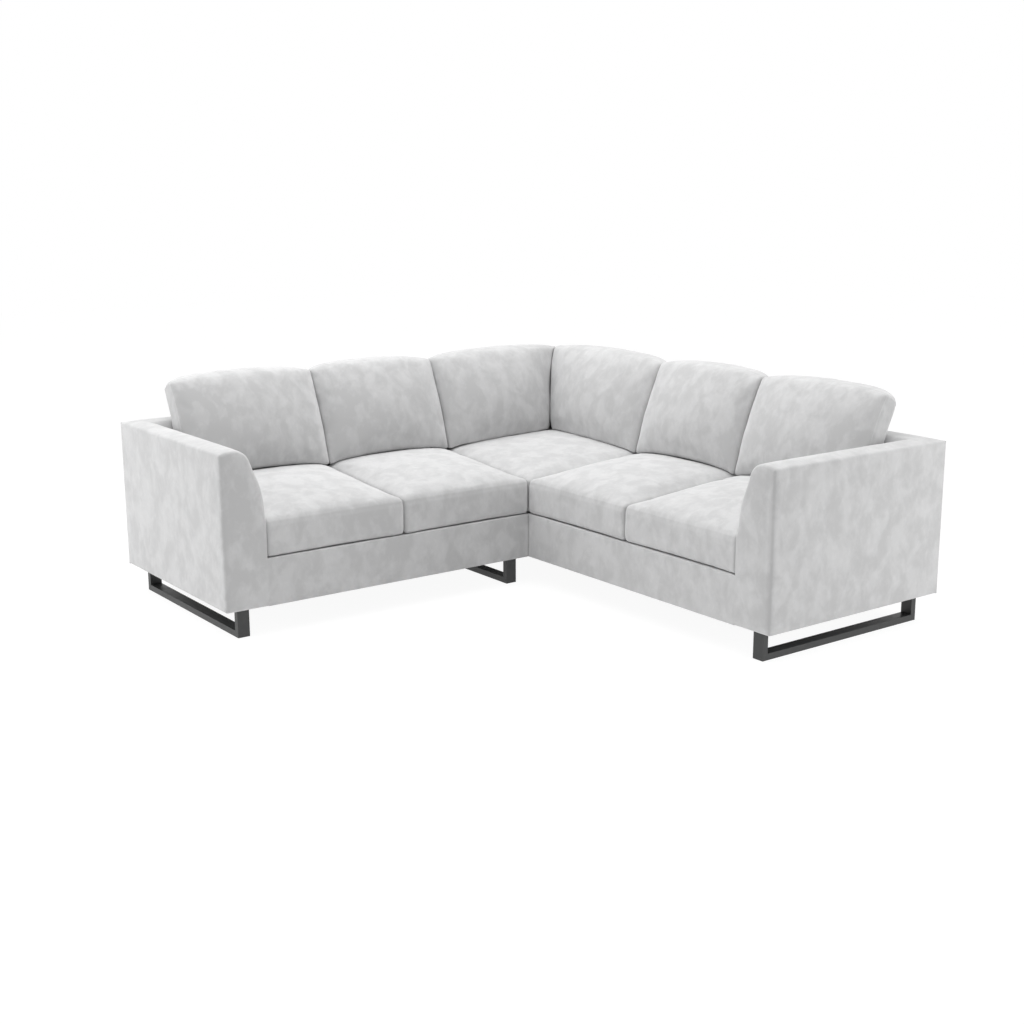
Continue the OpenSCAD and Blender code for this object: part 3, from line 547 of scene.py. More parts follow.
# %% [markdown]
# ## Upholstered skins
#
# An arm or a back is a padded frame with cloth pulled tight over it. It could be blown up
# like a cushion, but tight cloth over a board hardly moves. So each skin starts as a block
# with the exact section of the frame, its edges are rounded by the padding, a fine grid is
# cut into it, and each panel swells a few millimetres away from its seams. Along a seam the
# cloth is drawn into a narrow groove. All these measures are in metres.

# %% Sizes of the skins
GRID = 0.024
EDGE_R = 0.008
GROOVE = 0.0016
GROOVE_W = 0.0035
SWELL = 0.0035
SWELL_REACH = 0.07
WOBBLE = 0.0012
WOBBLE_SIZE = 0.16
# An edge that turns more than SHARP is a corner, and one that turns less than FLAT is none.
SHARP = math.radians(35)
FLAT = math.radians(0.5)
# Points nearer than TINY are one point, and those within CLOSE of a joint belong to it.
TINY = 1e-5
CLOSE = 0.002
print("grid", GRID * 1000, "mm, edges", EDGE_R * 1000, "mm, swell", SWELL * 1000, "mm")

# %% [markdown]
# The section of an arm or a back is not typed in again. It is the flat end of the piece in
# the frame: the faces that all lie at one place along the wing, walked round corner by
# corner. So the skin still fits when the frame is built in another size.


# %% Section of a frame piece
def end_outline(node, wing, axis, at):
    """Corners, in order, of the flat end that a frame node has where one measure is at."""
    bm = bmesh.new()
    bm.from_mesh(frame["nodes"][node].data)
    bmesh.ops.remove_doubles(bm, verts=bm.verts, dist=TINY)
    spots = to_wing([list(v.co) for v in bm.verts], wing)
    bm.verts.index_update()
    flat = {
        f for f in bm.faces if all(abs(spots[v.index][axis] - at) < 10 * TINY for v in f.verts)
    }
    border = [e for e in bm.edges if sum(f in flat for f in e.link_faces) == 1]
    edge = border[0]
    first, corner = edge.verts
    ring = [first.index]
    while corner.index != ring[0]:
        ring.append(corner.index)
        edge = next(e for e in corner.link_edges if e in border and e is not edge)
        corner = edge.other_vert(corner)
    bm.free()
    return [spots[i] for i in ring]


def straight_corners(ring):
    """The ring without points that lie on a straight run."""
    kept_points = []
    for before, point, after in zip(ring[-1:] + ring[:-1], ring, ring[1:] + ring[:1]):
        turn = np.cross(point - before, after - point)
        if np.linalg.norm(turn) > 1e-9:
            kept_points.append(point)
    return kept_points


sample = end_outline("loveseat_arm_cover", "left", 1, 0)
print("an arm's section has", len(straight_corners(sample)), "corners")

# %% [markdown]
# A block is that section stretched along an axis. Its mitres are plane cuts, and where it
# has to fit round another piece a boolean modifier takes that piece out of it. Both keep
# flat faces flat, which modelling by hand would not.


# %% Blocks
def prism(outline, axis, low, high):
    """Solid with the outline as its section, stretched along an axis of the wing."""
    bm = bmesh.new()
    rings = []
    for at in (low, high):
        ring = []
        for point in outline:
            spot = np.array(point, float)
            spot[axis] = at
            ring.append(bm.verts.new(spot))
        rings.append(ring)
    for ring in rings:
        bm.faces.new(ring)
    count = len(outline)
    for k in range(count):
        after = (k + 1) % count
        bm.faces.new((rings[0][k], rings[0][after], rings[1][after], rings[1][k]))
    bmesh.ops.recalc_face_normals(bm, faces=bm.faces)
    return bm


def cut_off(bm, point, normal):
    """Removes what lies beyond a plane on its normal's side and closes the cut."""
    geom = bm.verts[:] + bm.edges[:] + bm.faces[:]
    cut = bmesh.ops.bisect_plane(
        bm, geom=geom, dist=TINY, plane_co=point, plane_no=normal, clear_outer=True
    )
    edges = [e for e in cut["geom_cut"] if isinstance(e, bmesh.types.BMEdge)]
    bmesh.ops.contextual_create(bm, geom=edges)
    bmesh.ops.recalc_face_normals(bm, faces=bm.faces)


def carve(bm, tool):
    """The solid with the tool's solid taken out of it."""
    meshes = []
    for solid in (bm, tool):
        mesh = bpy.data.meshes.new("carving")
        solid.to_mesh(mesh)
        solid.free()
        meshes.append(bpy.data.objects.new("carving", mesh))
        bpy.context.scene.collection.objects.link(meshes[-1])
    cutter = meshes[0].modifiers.new("cut", "BOOLEAN")
    cutter.object = meshes[1]
    cutter.operation = "DIFFERENCE"
    cutter.solver = "EXACT"
    result = bmesh.new()
    result.from_object(meshes[0], bpy.context.evaluated_depsgraph_get())
    for helper in meshes:
        mesh = helper.data
        bpy.data.objects.remove(helper)
        bpy.data.meshes.remove(mesh)
    bmesh.ops.dissolve_limit(result, angle_limit=FLAT, verts=result.verts, edges=result.edges)
    return result


block = prism(straight_corners(sample), 1, 0, DEPTH)
print("a block as long as an arm has", len(block.faces), "faces")
block.free()

# %% [markdown]
# Softening turns the block into upholstery. First its open edges are bevelled round, then
# the faces are cut into a grid, and last every point moves along its normal: outwards with
# its distance from the nearest edge, inwards beside a seam, with a little noise for the
# hand work. Where a piece butts against its neighbour nothing moves, so no gap opens.

# %% Softening a block
BEVEL_STEPS = 4
EASED_SHARE = 0.41
WOBBLE_START = 4
SEAM_CUTS = (-2, -1, 0, 1, 2)


def slice_at(bm, axis, at):
    """Cuts the faces along the plane where one measure is at."""
    normal = Vector((0, 0, 0))
    normal[axis] = 1
    geom = bm.verts[:] + bm.edges[:] + bm.faces[:]
    bmesh.ops.bisect_plane(bm, geom=geom, dist=TINY, plane_co=normal * at, plane_no=normal)


def cut_grid(bm, axes=(0, 1, 2)):
    """Slices the skin along planes a grid cell apart, so that it can swell."""
    for axis in axes:
        low = min(v.co[axis] for v in bm.verts)
        high = max(v.co[axis] for v in bm.verts)
        count = int((high - low) / GRID)
        for k in range(1, count):
            slice_at(bm, axis, low + (high - low) * k / count)


def line_tree(edges, pitch=0.004):
    """Search tree over points along some edges."""
    points = []
    for a, b in edges:
        count = max(1, int((b - a).length / pitch))
        points += [a.lerp(b, k / count) for k in range(count + 1)]
    tree = KDTree(len(points))
    for k, point in enumerate(points):
        tree.insert(point, k)
    tree.balance()
    return tree


def soften(bm, sewn, held, seams=(), swell=SWELL, edge_r=EDGE_R):
    """Rounds the edges of a block, swells its panels and draws in its seams.

    sewn(middle) says whether the edge with that middle is a seam, held(point) whether a
    point butts against a neighbour and stays. An edge between two such points stays sharp.
    seams are cross seams as (axis, at).
    """
    creased = [e for e in bm.edges if e.calc_face_angle(0) > SHARP]
    sharp = [e for e in creased if not all(held(v.co) for v in e.verts)]
    borders = [(e.verts[0].co.copy(), e.verts[1].co.copy()) for e in creased]
    drawn = [pair for pair in borders if sewn((pair[0] + pair[1]) / 2)]
    bmesh.ops.bevel(
        bm, geom=sharp, offset=edge_r, segments=BEVEL_STEPS, affect="EDGES", profile=0.5,
        clamp_overlap=True,
    )
    for axis, at in seams:
        for off in SEAM_CUTS:
            slice_at(bm, axis, at + off * GROOVE_W / 2)
    cut_grid(bm)
    bm.normal_update()
    border_tree = line_tree(borders)
    drawn_tree = line_tree(drawn) if drawn else None
    eased = EASED_SHARE * edge_r
    moves = []
    for v in bm.verts:
        off = 0.0
        if not held(v.co):
            reach = border_tree.find(v.co)[2]
            off = swell * (1 - math.exp(-reach / SWELL_REACH))
            start = min(1, reach / WOBBLE_SIZE * WOBBLE_START)
            off += WOBBLE * noise.noise(v.co / WOBBLE_SIZE) * start
        near = [abs(v.co[axis] - at) for axis, at in seams]
        if drawn_tree:
            near.append(max(0, drawn_tree.find(v.co)[2] - eased))
        if near and not held(v.co):
            off -= GROOVE * math.exp(-((min(near) / GROOVE_W) ** 2))
        moves.append(v.normal * off)
    for v, move in zip(bm.verts, moves):
        v.co += move


print("a panel swells by up to", SWELL * 1000, "mm, a seam sinks by", GROOVE * 1000, "mm")


# %% [markdown]
# So far a skin is only points and faces in wing measures. It becomes a piece of the sofa
# when it is turned into the room, gets its velvet, and is
# shaded smooth. Smooth shading would smear light over the square edges that lie against a
# neighbour, so these are marked sharp.

# %% Skin as a piece
def dress(name, bm, wing, finish):
    """Object from a mesh in wing measures, with a finish. Square edges stay crisp."""
    spots = to_room([list(v.co) for v in bm.verts], wing)
    for v, spot in zip(bm.verts, spots):
        v.co = spot
    bmesh.ops.recalc_face_normals(bm, faces=bm.faces)
    bm.normal_update()
    for edge in bm.edges:
        edge.smooth = edge.calc_face_angle(0) < SHARP
    mesh = bpy.data.meshes.new(name)
    bm.to_mesh(mesh)
    bm.free()
    mesh.polygons.foreach_set("use_smooth", [True] * len(mesh.polygons))
    piece = bpy.data.objects.new(name, mesh)
    bpy.context.scene.collection.objects.link(piece)
    mesh.materials.append(finish)
    return piece


print("skins are cut every", GRID * 1000, "mm")

# %% [markdown]
# ## Arms
#
# Each arm is one padded box: outer side and top in one piece of cloth, a leaning inner side
# with a round shoulder, and a sewn front panel. Its section is read off the frame. At the
# rear it is mitred against the back, as an upholsterer folds it round the corner. In front of
# the back cushion the shoulder is fuller, as nothing presses on it there, and below the seat
# the arm stands square against the cushion and the base.

# %% Arms
arm_low, arm_high = wing_box("loveseat_arm_cover", "left")
ARM_SECTION = straight_corners(end_outline("loveseat_arm_cover", "left", 1, arm_low[1]))
MITRE_NORMAL = Vector((1, 1, 0)).normalized()
MITRE_POINT = Vector((0, DEPTH, 0))
SHOULDER_SWELL = 0.018
SHOULDER_AT = 0.575
SHOULDER_REACH = 0.085
CUSHION_FREE = (0.42, 0.57)
ARM_STRAIGHT = 0.462


def on_mitre(point):
    """Whether a point lies on the cut between an arm and its back."""
    return abs((point - MITRE_POINT).dot(MITRE_NORMAL)) < 10 * TINY


def fill_shoulder(bm):
    """Lets the padding bulge under the inner edge, as far back as the cushion leaves room."""
    bm.normal_update()
    near, far = CUSHION_FREE
    for v in bm.verts:
        height = math.exp(-(((v.co.z - SHOULDER_AT) / SHOULDER_REACH) ** 2))
        along = min(1, max(0, (far - v.co.y) / (far - near)))
        v.co.x += SHOULDER_SWELL * height * along * max(0, v.normal.x)


def make_arm(module, wing):
    bm = prism(ARM_SECTION, 1, 0, DEPTH)
    cut_off(bm, MITRE_POINT, MITRE_NORMAL)
    inner = arm_high[0] - TINY
    soften(
        bm,
        sewn=lambda p: p.y < TINY,
        held=lambda p: on_mitre(p) or (p.x > inner and p.z < ARM_STRAIGHT + TINY),
    )
    fill_shoulder(bm)
    arm = dress(module + "_arm_skin", bm, wing, VELVET)
    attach(arm, module + "_module")
    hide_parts(module + "_arm_cover")
    return arm


WING_OF = {"loveseat": "left", "corner": "right"}
for module, wing in WING_OF.items():
    arm = make_arm(module, wing)
    print(arm.name, len(arm.data.polygons), "faces")

# %% [markdown]
# ## Backs
#
# The two long backs and the short return behind the corner seat share one section. Next to
# an arm the back is cut to fit round it, and in the far corner both backs meet on the
# diagonal. Long lengths of velvet are joined by upright seams behind the cushion gaps.

# %% Backs
back_high = wing_box("loveseat_back_cover", "left")[1]
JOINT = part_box("corner_return_cover")[0][0] + HALF
BACK_SECTION = straight_corners(end_outline("loveseat_back_cover", "left", 0, back_high[0]))
FAR_NORMAL = Vector((1, -1, 0)).normalized()
FAR_POINT = Vector((2 * HALF, DEPTH, 0))
CREST = max(p[2] for p in ARM_SECTION)


def on_far_mitre(point):
    """Whether a point lies on the cut between both backs."""
    return abs((point - FAR_POINT).dot(FAR_NORMAL)) < 10 * TINY


OVER = 0.05


def arm_tool():
    """Solid as wide as an arm and higher than its top, on the arm's side of the mitre."""
    crest_x = max(p[0] for p in ARM_SECTION if p[2] > CREST - TINY)
    inner = [p for p in ARM_SECTION if p[0] > crest_x - TINY]
    inner.sort(key=lambda p: -p[2])
    low = inner[-1] - np.array([0, 0, OVER])
    corners = [
        np.array([-OVER, 0, low[2]]),
        np.array([-OVER, 0, CREST + OVER]),
        np.array([crest_x, 0, CREST + OVER]),
    ]
    tool = prism(corners + inner + [low], 1, -OVER, DEPTH + OVER)
    cut_off(tool, MITRE_POINT, MITRE_NORMAL)
    return tool


def make_back(name, wing, body, node, low, high, by_arm=False, mitred=False, seams=()):
    """A length of back from low to high along its wing."""
    bm = prism(BACK_SECTION, 0, low, high)
    if by_arm:
        bm = carve(bm, arm_tool())
    if mitred:
        cut_off(bm, FAR_POINT, FAR_NORMAL)

    def held(p):
        return (by_arm and on_mitre(p)) or (mitred and on_far_mitre(p)) or min(
            abs(p.x - JOINT), abs(p.x - high)
        ) < CLOSE

    soften(bm, sewn=lambda p: False, held=held, seams=[(0, at) for at in seams])
    back = dress(name, bm, wing, VELVET)
    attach(back, body)
    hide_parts(node)
    print(name, len(back.data.polygons), "faces")
    return back


MIDDLE = wing_box("loveseat_seat_cushion_arm", "left")[1][0]
FULL = 2 * HALF
make_back(
    "loveseat_back_skin", "left", "loveseat_module", "loveseat_back_cover",
    0, back_high[0], by_arm=True, seams=[MIDDLE],
)
make_back(
    "corner_return_skin", "left", "corner_module", "corner_return_cover",
    JOINT, FULL, mitred=True,
)
make_back(
    "corner_back_skin", "right", "corner_module", "corner_back_cover",
    0, FULL, by_arm=True, mitred=True, seams=[MIDDLE, JOINT],
)

# %% [markdown]
# ## Base and deck
#
# Below the cushions a padded band closes the front of the base, and a plain cloth deck
# carries the seat cushions. These are flat pieces whose outline is right in the frame, so
# they start as copies of it and are softened in the same way: the band swells a little and
# the deck sinks a little. The end of the band is pressed into the arm, so that no light
# comes through between them.

# %% Base pieces
BAND_SWELL = 0.002
BAND_EDGE = 0.0025
DECK_SINK = 0.002
DECK_EDGE = 0.003
SKIN_DEEP = 0.001
JOINED = 0.001


def copy_node(node, wing):
    """The frame node's mesh, welded, in wing measures."""
    bm = bmesh.new()
    bm.from_mesh(frame["nodes"][node].data)
    bmesh.ops.remove_doubles(bm, verts=bm.verts, dist=TINY)
    spots = to_wing([list(v.co) for v in bm.verts], wing)
    for v, spot in zip(bm.verts, spots):
        v.co = spot
    bmesh.ops.dissolve_limit(bm, angle_limit=FLAT, verts=bm.verts, edges=bm.edges)
    bmesh.ops.recalc_face_normals(bm, faces=bm.faces)
    return bm


def make_base(module, wing):
    """The front band and the deck of a module."""
    band = copy_node(module + "_base_cover", wing)
    first = wing_box(module + "_base_cover", wing)[0][0]

    def held(p):
        return p.y > SKIN_DEEP or p.x < first + TINY

    soften(band, sewn=lambda p: False, held=held, swell=BAND_SWELL, edge_r=BAND_EDGE)
    for v in band.verts:
        if v.co.x < first + TINY:
            v.co.x -= JOINED
    deck = copy_node(module + "_deck", wing)
    top = max(v.co.z for v in deck.verts)
    soften(
        deck,
        sewn=lambda p: p.z > top - TINY,
        held=lambda p: p.z < top - SKIN_DEEP,
        swell=-DECK_SINK,
        edge_r=DECK_EDGE,
    )
    for bm, part, finish, slot in (
        (band, "base", VELVET, "upholstery_fabric"),
        (deck, "deck", DECK_CLOTH, "deck_cloth"),
    ):
        piece = dress(f"{module}_{part}_skin", bm, wing, finish)
        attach(piece, module + "_module")
        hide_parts(module + ("_base_cover" if part == "base" else "_deck"))
        print(piece.name, len(piece.data.polygons), "faces")


for module, wing in WING_OF.items():
    make_base(module, wing)

# %% [markdown]
# ## Lining
#
# Black lining is stapled under the base, stretched by hand and still slack by a few
# millimetres. A draped cloth simulation would hardly move it, so it is the upper face of the
# frame's sheet, cut into a grid and let down with its distance from the staples. It is the
# one loose sheet of the sofa, so its flat size is worked out with it.

# %% Lining
LINING_DROP = 0.0005
LINING_SAG = 0.003
SAG_REACH = 0.06
RIPPLE_LENGTH = 0.13


def make_lining(module, wing):
    """The stretched lining of a module."""
    bm = copy_node(module + "_dust_cover", wing)
    top = max(v.co.z for v in bm.verts)
    upper = [f for f in bm.faces if f.calc_center_median().z > top - TINY]
    bmesh.ops.delete(bm, geom=[f for f in bm.faces if f not in upper], context="FACES")
    bmesh.ops.delete(bm, geom=[v for v in bm.verts if not v.link_faces], context="VERTS")
    border = line_tree(
        [(e.verts[0].co.copy(), e.verts[1].co.copy()) for e in bm.edges if e.is_boundary]
    )
    cut_grid(bm, axes=(0, 1))
    for v in bm.verts:
        reach = border.find(v.co)[2]
        ripple = 0.5 + 0.5 * noise.noise(v.co / RIPPLE_LENGTH)
        v.co.z -= LINING_DROP + LINING_SAG * ripple * (1 - math.exp(-reach / SAG_REACH))
    area = sum(f.calc_area() for f in bm.faces)
    lining = dress(module + "_lining", bm, wing, LINING)
    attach(lining, module + "_module")
    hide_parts(module + "_dust_cover")


for module, wing in WING_OF.items():
    make_lining(module, wing)

# %% [markdown]
# ## Boxed cushions
#
# A boxed cushion is two panels joined by a strip all round, filled with foam and fibre. It
# could be sculpted, but the puckers and the tight, drawn-in sides of a stuffed cover come
# from its pattern. So the pattern is built as a closed skin of even quads with its seams on
# edge loops, slightly too small, and cloth simulation blows it up to size. Then the seams
# are drawn in and it is pressed flat where it lies on something.

# %% Sizes of the cushions
CELL = 0.013
SEAM_DRAW = 0.0026
EDGE_STEPS = (0.0, 0.3, 0.62, 1.0)
print("cushions are sewn from cells of", CELL * 1000, "mm")

# %% [markdown]
# The block under a cover is a box of quads, dense along its edges. Its edges are rounded by
# moving points onto small ellipsoids, which keeps the quads in rows. A bevel would cut the
# rows and the seams could no longer follow them.


# %% Rounded block of quads
def shares(length, low_edge, high_edge):
    """Places from 0 to 1 along a side: close together at both edges, even between."""
    even = length - low_edge - high_edge
    count = max(2, round(even / CELL))
    places = [low_edge * step for step in EDGE_STEPS]
    places += [low_edge + even * k / count for k in range(1, count)]
    places += [length - high_edge * step for step in reversed(EDGE_STEPS)]
    return [p / length for p in places]


def block_skin(us, vs, ws):
    """Closed skin of quads over the six sides of a block, as shares of its three sizes."""
    index, spots, quads = {}, [], []

    def at(*key):
        if key not in index:
            index[key] = len(spots)
            spots.append((us[key[0]], vs[key[1]], ws[key[2]]))
        return index[key]

    counts = (len(us) - 1, len(vs) - 1, len(ws) - 1)
    for axis in range(3):
        across, along = [k for k in range(3) if k != axis]
        for level in (0, counts[axis]):
            for i in range(counts[across]):
                for j in range(counts[along]):
                    quad = []
                    for di, dj in ((0, 0), (1, 0), (1, 1), (0, 1)):
                        key = [0, 0, 0]
                        key[axis], key[across], key[along] = level, i + di, j + dj
                        quad.append(at(*key))
                    quads.append(quad)
    return np.array(spots), quads


def round_off(spots, size, low_r, high_r):
    """Rounds the edges of a block, with radii for its low and its high side of each axis."""
    size, low_r, high_r = np.array(size), np.array(low_r), np.array(high_r)
    inner = np.clip(spots, low_r, size - high_r)
    radii = np.where(spots < inner, low_r, high_r)
    off = (spots - inner) / radii
    length = np.linalg.norm(off, axis=1, keepdims=True)
    return inner + np.where(length > 1e-9, off / np.maximum(length, 1e-9), 0) * radii


def bulge(share, power=2.6):
    """1 in the middle of a side, falling to 0 at both ends."""
    return 1 - np.abs(2 * share - 1) ** power


def fill_out(values, low, high, under, over):
    """Values stretched to fill low to high, apart from a percentage of them on each side."""
    first, last = np.percentile(values, (under, 100 - over))
    return low + (values - first) * (high - low) / (last - first)


print("a side of 0.6 m with edges of 20 mm has", len(shares(0.6, 0.02, 0.02)) - 1, "cells")

# %% [markdown]
# The filling is air pressure in a cloth simulation without gravity. The seams shrink a
# little at the same time, as a tight thread pulls them, and that gives the puckers beside
# them. Twenty frames are enough for the cover to come to rest. A soft limit on how far a
# point may go keeps a cushion within its place on the sofa.

# %% Blowing up a cover
FRAMES = 20
TIGHTNESS = 12.0
SEAM_SHRINK = 0.012
MOST_MOVE = 0.012


def blow_up(piece, pressure):
    """Cloth simulation with air pressure. No point moves further than MOST_MOVE."""
    mesh = piece.data
    rest = np.empty(len(mesh.vertices) * 3)
    mesh.vertices.foreach_get("co", rest)
    rest = rest.reshape(-1, 3)
    cloth = piece.modifiers.new("filling", "CLOTH")
    settings = cloth.settings
    settings.quality = 5
    settings.mass = 0.4
    settings.tension_stiffness = TIGHTNESS
    settings.compression_stiffness = TIGHTNESS
    settings.shear_stiffness = TIGHTNESS / 2
    settings.bending_stiffness = 0.4
    settings.use_pressure = True
    settings.uniform_pressure_force = pressure
    settings.effector_weights.gravity = 0
    settings.vertex_group_shrink = "seams"
    settings.shrink_min = 0.0
    settings.shrink_max = SEAM_SHRINK
    cloth.point_cache.frame_start = 1
    cloth.point_cache.frame_end = FRAMES
    for step in range(1, FRAMES + 1):
        bpy.context.scene.frame_set(step)
    graph = bpy.context.evaluated_depsgraph_get()
    blown = piece.evaluated_get(graph).to_mesh()
    spots = np.empty(len(blown.vertices) * 3)
    blown.vertices.foreach_get("co", spots)
    piece.evaluated_get(graph).to_mesh_clear()
    piece.modifiers.remove(cloth)
    bpy.context.scene.frame_set(1)
    moved = spots.reshape(-1, 3) - rest
    far = np.linalg.norm(moved, axis=1, keepdims=True)
    limited = MOST_MOVE * np.tanh(far / MOST_MOVE)
    moved *= limited / np.maximum(far, 1e-9)
    print("  moved up to", round(float(limited.max()) * 1000, 1), "mm")
    return rest + moved


print("air pressure works for", FRAMES, "frames")

# %% [markdown]
# Sewing a cushion runs the same steps for seats and backs: the block of quads, bent into its
# place, blown up, roughened by small ripples, drawn in along both rows of seams, and last
# pressed against what it touches. A subdivision modifier smooths the result without moving
# its seams.

# %% Making a cushion
RIPPLE = 0.0009
RIPPLE_SIZE = 0.06


def sew_cushion(name, wing, size, low_r, high_r, shape, press, pressure, seed):
    """A boxed cushion of that size; its third measure is its thickness.

    shape turns points on the rounded block into wing points, press fits the blown-up points
    to the room between what the cushion lies against.
    """
    us, vs, ws = (shares(*side) for side in zip(size, low_r, high_r))
    spots, quads = block_skin(us, vs, ws)
    seam_levels = (ws[2], ws[-3])
    on_side = np.any((spots[:, :2] < TINY) | (spots[:, :2] > 1 - TINY), axis=1)
    seam = on_side & np.isin(spots[:, 2], seam_levels)
    block = round_off(spots * np.array(size), size, low_r, high_r)
    place = shape(block, spots)
    mesh = bpy.data.meshes.new(name)
    mesh.from_pydata([list(p) for p in to_room(place, wing)], [], quads)
    piece = bpy.data.objects.new(name, mesh)
    bpy.context.scene.collection.objects.link(piece)
    bm = bmesh.new()
    bm.from_mesh(mesh)
    bmesh.ops.recalc_face_normals(bm, faces=bm.faces)
    bm.to_mesh(mesh)
    bm.free()
    group = piece.vertex_groups.new(name="seams")
    group.add([int(k) for k in np.flatnonzero(seam)], 1.0, "REPLACE")
    result = np.array([list(v.co) for v in mesh.vertices])
    result = blow_up(piece, pressure)
    mesh.vertices.foreach_set("co", result.ravel())
    mesh.update()
    normals = np.array([list(n.vector) for n in mesh.vertex_normals])
    other = Vector((seed, 0, 0))
    ripples = np.array([noise.noise(Vector(p) / RIPPLE_SIZE + other) for p in result])
    result += normals * (RIPPLE * ripples)[:, None]
    result[seam] -= normals[seam] * SEAM_DRAW
    result = to_room(press(to_wing(result, wing)), wing)
    mesh.vertices.foreach_set("co", result.ravel())
    mesh.polygons.foreach_set("use_smooth", [True] * len(mesh.polygons))
    mesh.materials.append(VELVET)
    finer = piece.modifiers.new("finer", "SUBSURF")
    finer.levels = 1
    finer.render_levels = 1
    print(name, len(mesh.polygons), "faces")
    return piece


print("every cushion gets ripples of", RIPPLE * 1000, "mm")

# %% [markdown]
# ## Seat cushions
#
# Five seat cushions with boxed sides and a high crown, whose crest lies towards the back,
# where nobody has sat. Neighbours press against each other and against the arms, and all
# lie flat on the deck, so each one is fitted to the room that the frame gives it. How many
# of its points lie against a neighbour is a percentage: the blown-up cushion is stretched
# until that many touch. The two beside the inner corner keep a sharp upright edge there,
# because their covers press against each other.

# %% Seat cushions
# Radii of the edges.
SEAT_CORNER = 0.017
INNER_CORNER = 0.004
SEAT_TOP_EDGE = 0.03
SEAT_FOOT_EDGE = 0.018
# Height of the crown, how far back its crest lies, and how high the sides rise with it.
SEAT_CROWN = 0.068
CREST_BACK = 0.12
SIDE_RISE = 0.058
# Percentages of points that touch the neighbours and the deck, and the air pressure.
SEATS_TOUCHING = 4
BEDDED = 25
SEAT_PRESSURE = 4.0


def set_back(at, length, reach):
    """Moves places on a side back, most in the middle of it."""
    return at + reach * 4 * at / length * (1 - at / length)


def make_seat(module, place, wing, seed):
    """The seat cushion of a module beside the arm, further in or in the corner."""
    node = f"{module}_seat_cushion_{place}"
    low, high = wing_box(node, wing)
    size = high - low - np.array([0, 0, SEAT_CROWN])
    sideways = CREST_BACK if place == "corner" else 0
    last_corner = INNER_CORNER if place == "inner" else SEAT_CORNER

    def shape(block, share):
        u, v, w = share.T
        wide, deep = bulge(u), bulge(v)
        crown = SEAT_CROWN * wide * deep + SIDE_RISE * v * deep * (1 - wide)
        if place == "corner":
            crown += SIDE_RISE * u * wide * (1 - deep)
        x = set_back(block[:, 0], size[0], sideways)
        y = set_back(block[:, 1], size[1], CREST_BACK)
        return low + np.stack([x, y, block[:, 2] + crown * w], axis=1)

    def press(spots):
        x = fill_out(spots[:, 0], low[0], high[0], SEATS_TOUCHING, SEATS_TOUCHING)
        y = fill_out(spots[:, 1], low[1], high[1], 0, SEATS_TOUCHING)
        z = fill_out(spots[:, 2], low[2], high[2], BEDDED, 0)
        return np.clip(np.stack([x, y, z], axis=1), low, high)

    cushion = sew_cushion(
        node.replace("cushion", "pad"), wing, size,
        low_r=(SEAT_CORNER, SEAT_CORNER, SEAT_FOOT_EDGE),
        high_r=(last_corner, SEAT_CORNER, SEAT_TOP_EDGE),
        shape=shape, press=press, pressure=SEAT_PRESSURE, seed=seed,
    )
    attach(cushion, f"{module}_seat_{place}")
    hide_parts(node)
    return cushion


SEATS = [
    ("loveseat", "arm", "left"),
    ("loveseat", "inner", "left"),
    ("corner", "corner", "right"),
    ("corner", "inner", "right"),
    ("corner", "arm", "right"),
]
seat_points, seat_faces = [], []
for seed, (module, place, wing) in enumerate(SEATS):
    mesh = make_seat(module, place, wing, seed).data
    first = len(seat_points)
    seat_points += [v.co.copy() for v in mesh.vertices]
    seat_faces += [[first + k for k in face.vertices] for face in mesh.polygons]
SEAT_TREE = BVHTree.FromPolygons(seat_points, seat_faces)

# %% [markdown]
# ## Back cushions
#
# Six softer cushions lean on the back frame: thick at the foot, thin at the top, with a
# full front and an arched top edge that hangs back over the frame. The one by an arm has
# its end cut to follow the arm. The two in the corner meet about on the diagonal, where one
# is pushed into the soft end of the other. Both could be cut on the diagonal, but then the
# seam between them would be straight, and real cushions never agree on the middle. The
# border between them is upright, so either can still be lifted out. The shape function
# bends a plain block into that place, and in the end the foot is pressed against the crown
# of the seat cushions that were just made.

# %% Sizes of the back cushions
# Where a cushion stands: its foot, its lean, and how far its front and rear are from the
# outside of the back. Above the crest it hangs back over the frame.
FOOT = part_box("loveseat_back_cushion_inner")[0][2]
CUSHION_HIGH = 0.407
LEAN = math.tan(math.radians(18))
SEAT_LINE = 0.345
REAR_AT_CREST = 0.1665
OVERHANG = 0.1
# How the block is bent: crowns of its faces, arches of its top and foot, the fall of its
# upper corners and the roll of its top edge.
FRONT_CROWN = 0.057
REAR_CROWN = 0.011
ARCH = 0.02
FOOT_ARCH = 0.016
CORNER_FOOT_ARCH = 0.002
CORNER_RISE = 0.0205
END_FALL = 0.042
TOP_ROLL = 0.03
TOP_LOW = 0.005
# Powers of a bend. A high one keeps it to one end of its range.
ROUND = 2
END_ONLY, TOP_ONLY, REAR_ONLY = 8, 6, 1.5
ROLL_ONLY = 4
# Radii of the edges.
CUSHION_CORNER = 0.016
FOOT_EDGE = 0.026
MITRED_FOOT_EDGE = 0.013
FRONT_EDGE = 0.022
REAR_EDGE = 0.014
# In the corner: how far one cushion goes into the other at which depth, and how long the
# dent is that it makes there.
PUSH_DEPTHS = (0.1, 0.13, 0.16, 0.19, 0.22, 0.26, 0.3, 0.345)
PUSHES = (0.0, 0.008, 0.022, 0.034, 0.04, 0.036, 0.029, 0.02)
DENT = 0.1
# Beside an arm: the slope of the arm and the gap to it.
ARM_W = float(arm_high[0])
ARM_LEAN = math.tan(math.radians(14.3))
END_RISE = 0.095
END_GAP = 0.0034
# Contact: the gap that stays, the percentage of points that touch, and the air pressure.
HAIR = 0.0005
TOUCHING = 3
BACK_PRESSURE = 3.0
print("the foot of a back cushion is at", round(FOOT * 1000, 1), "mm")

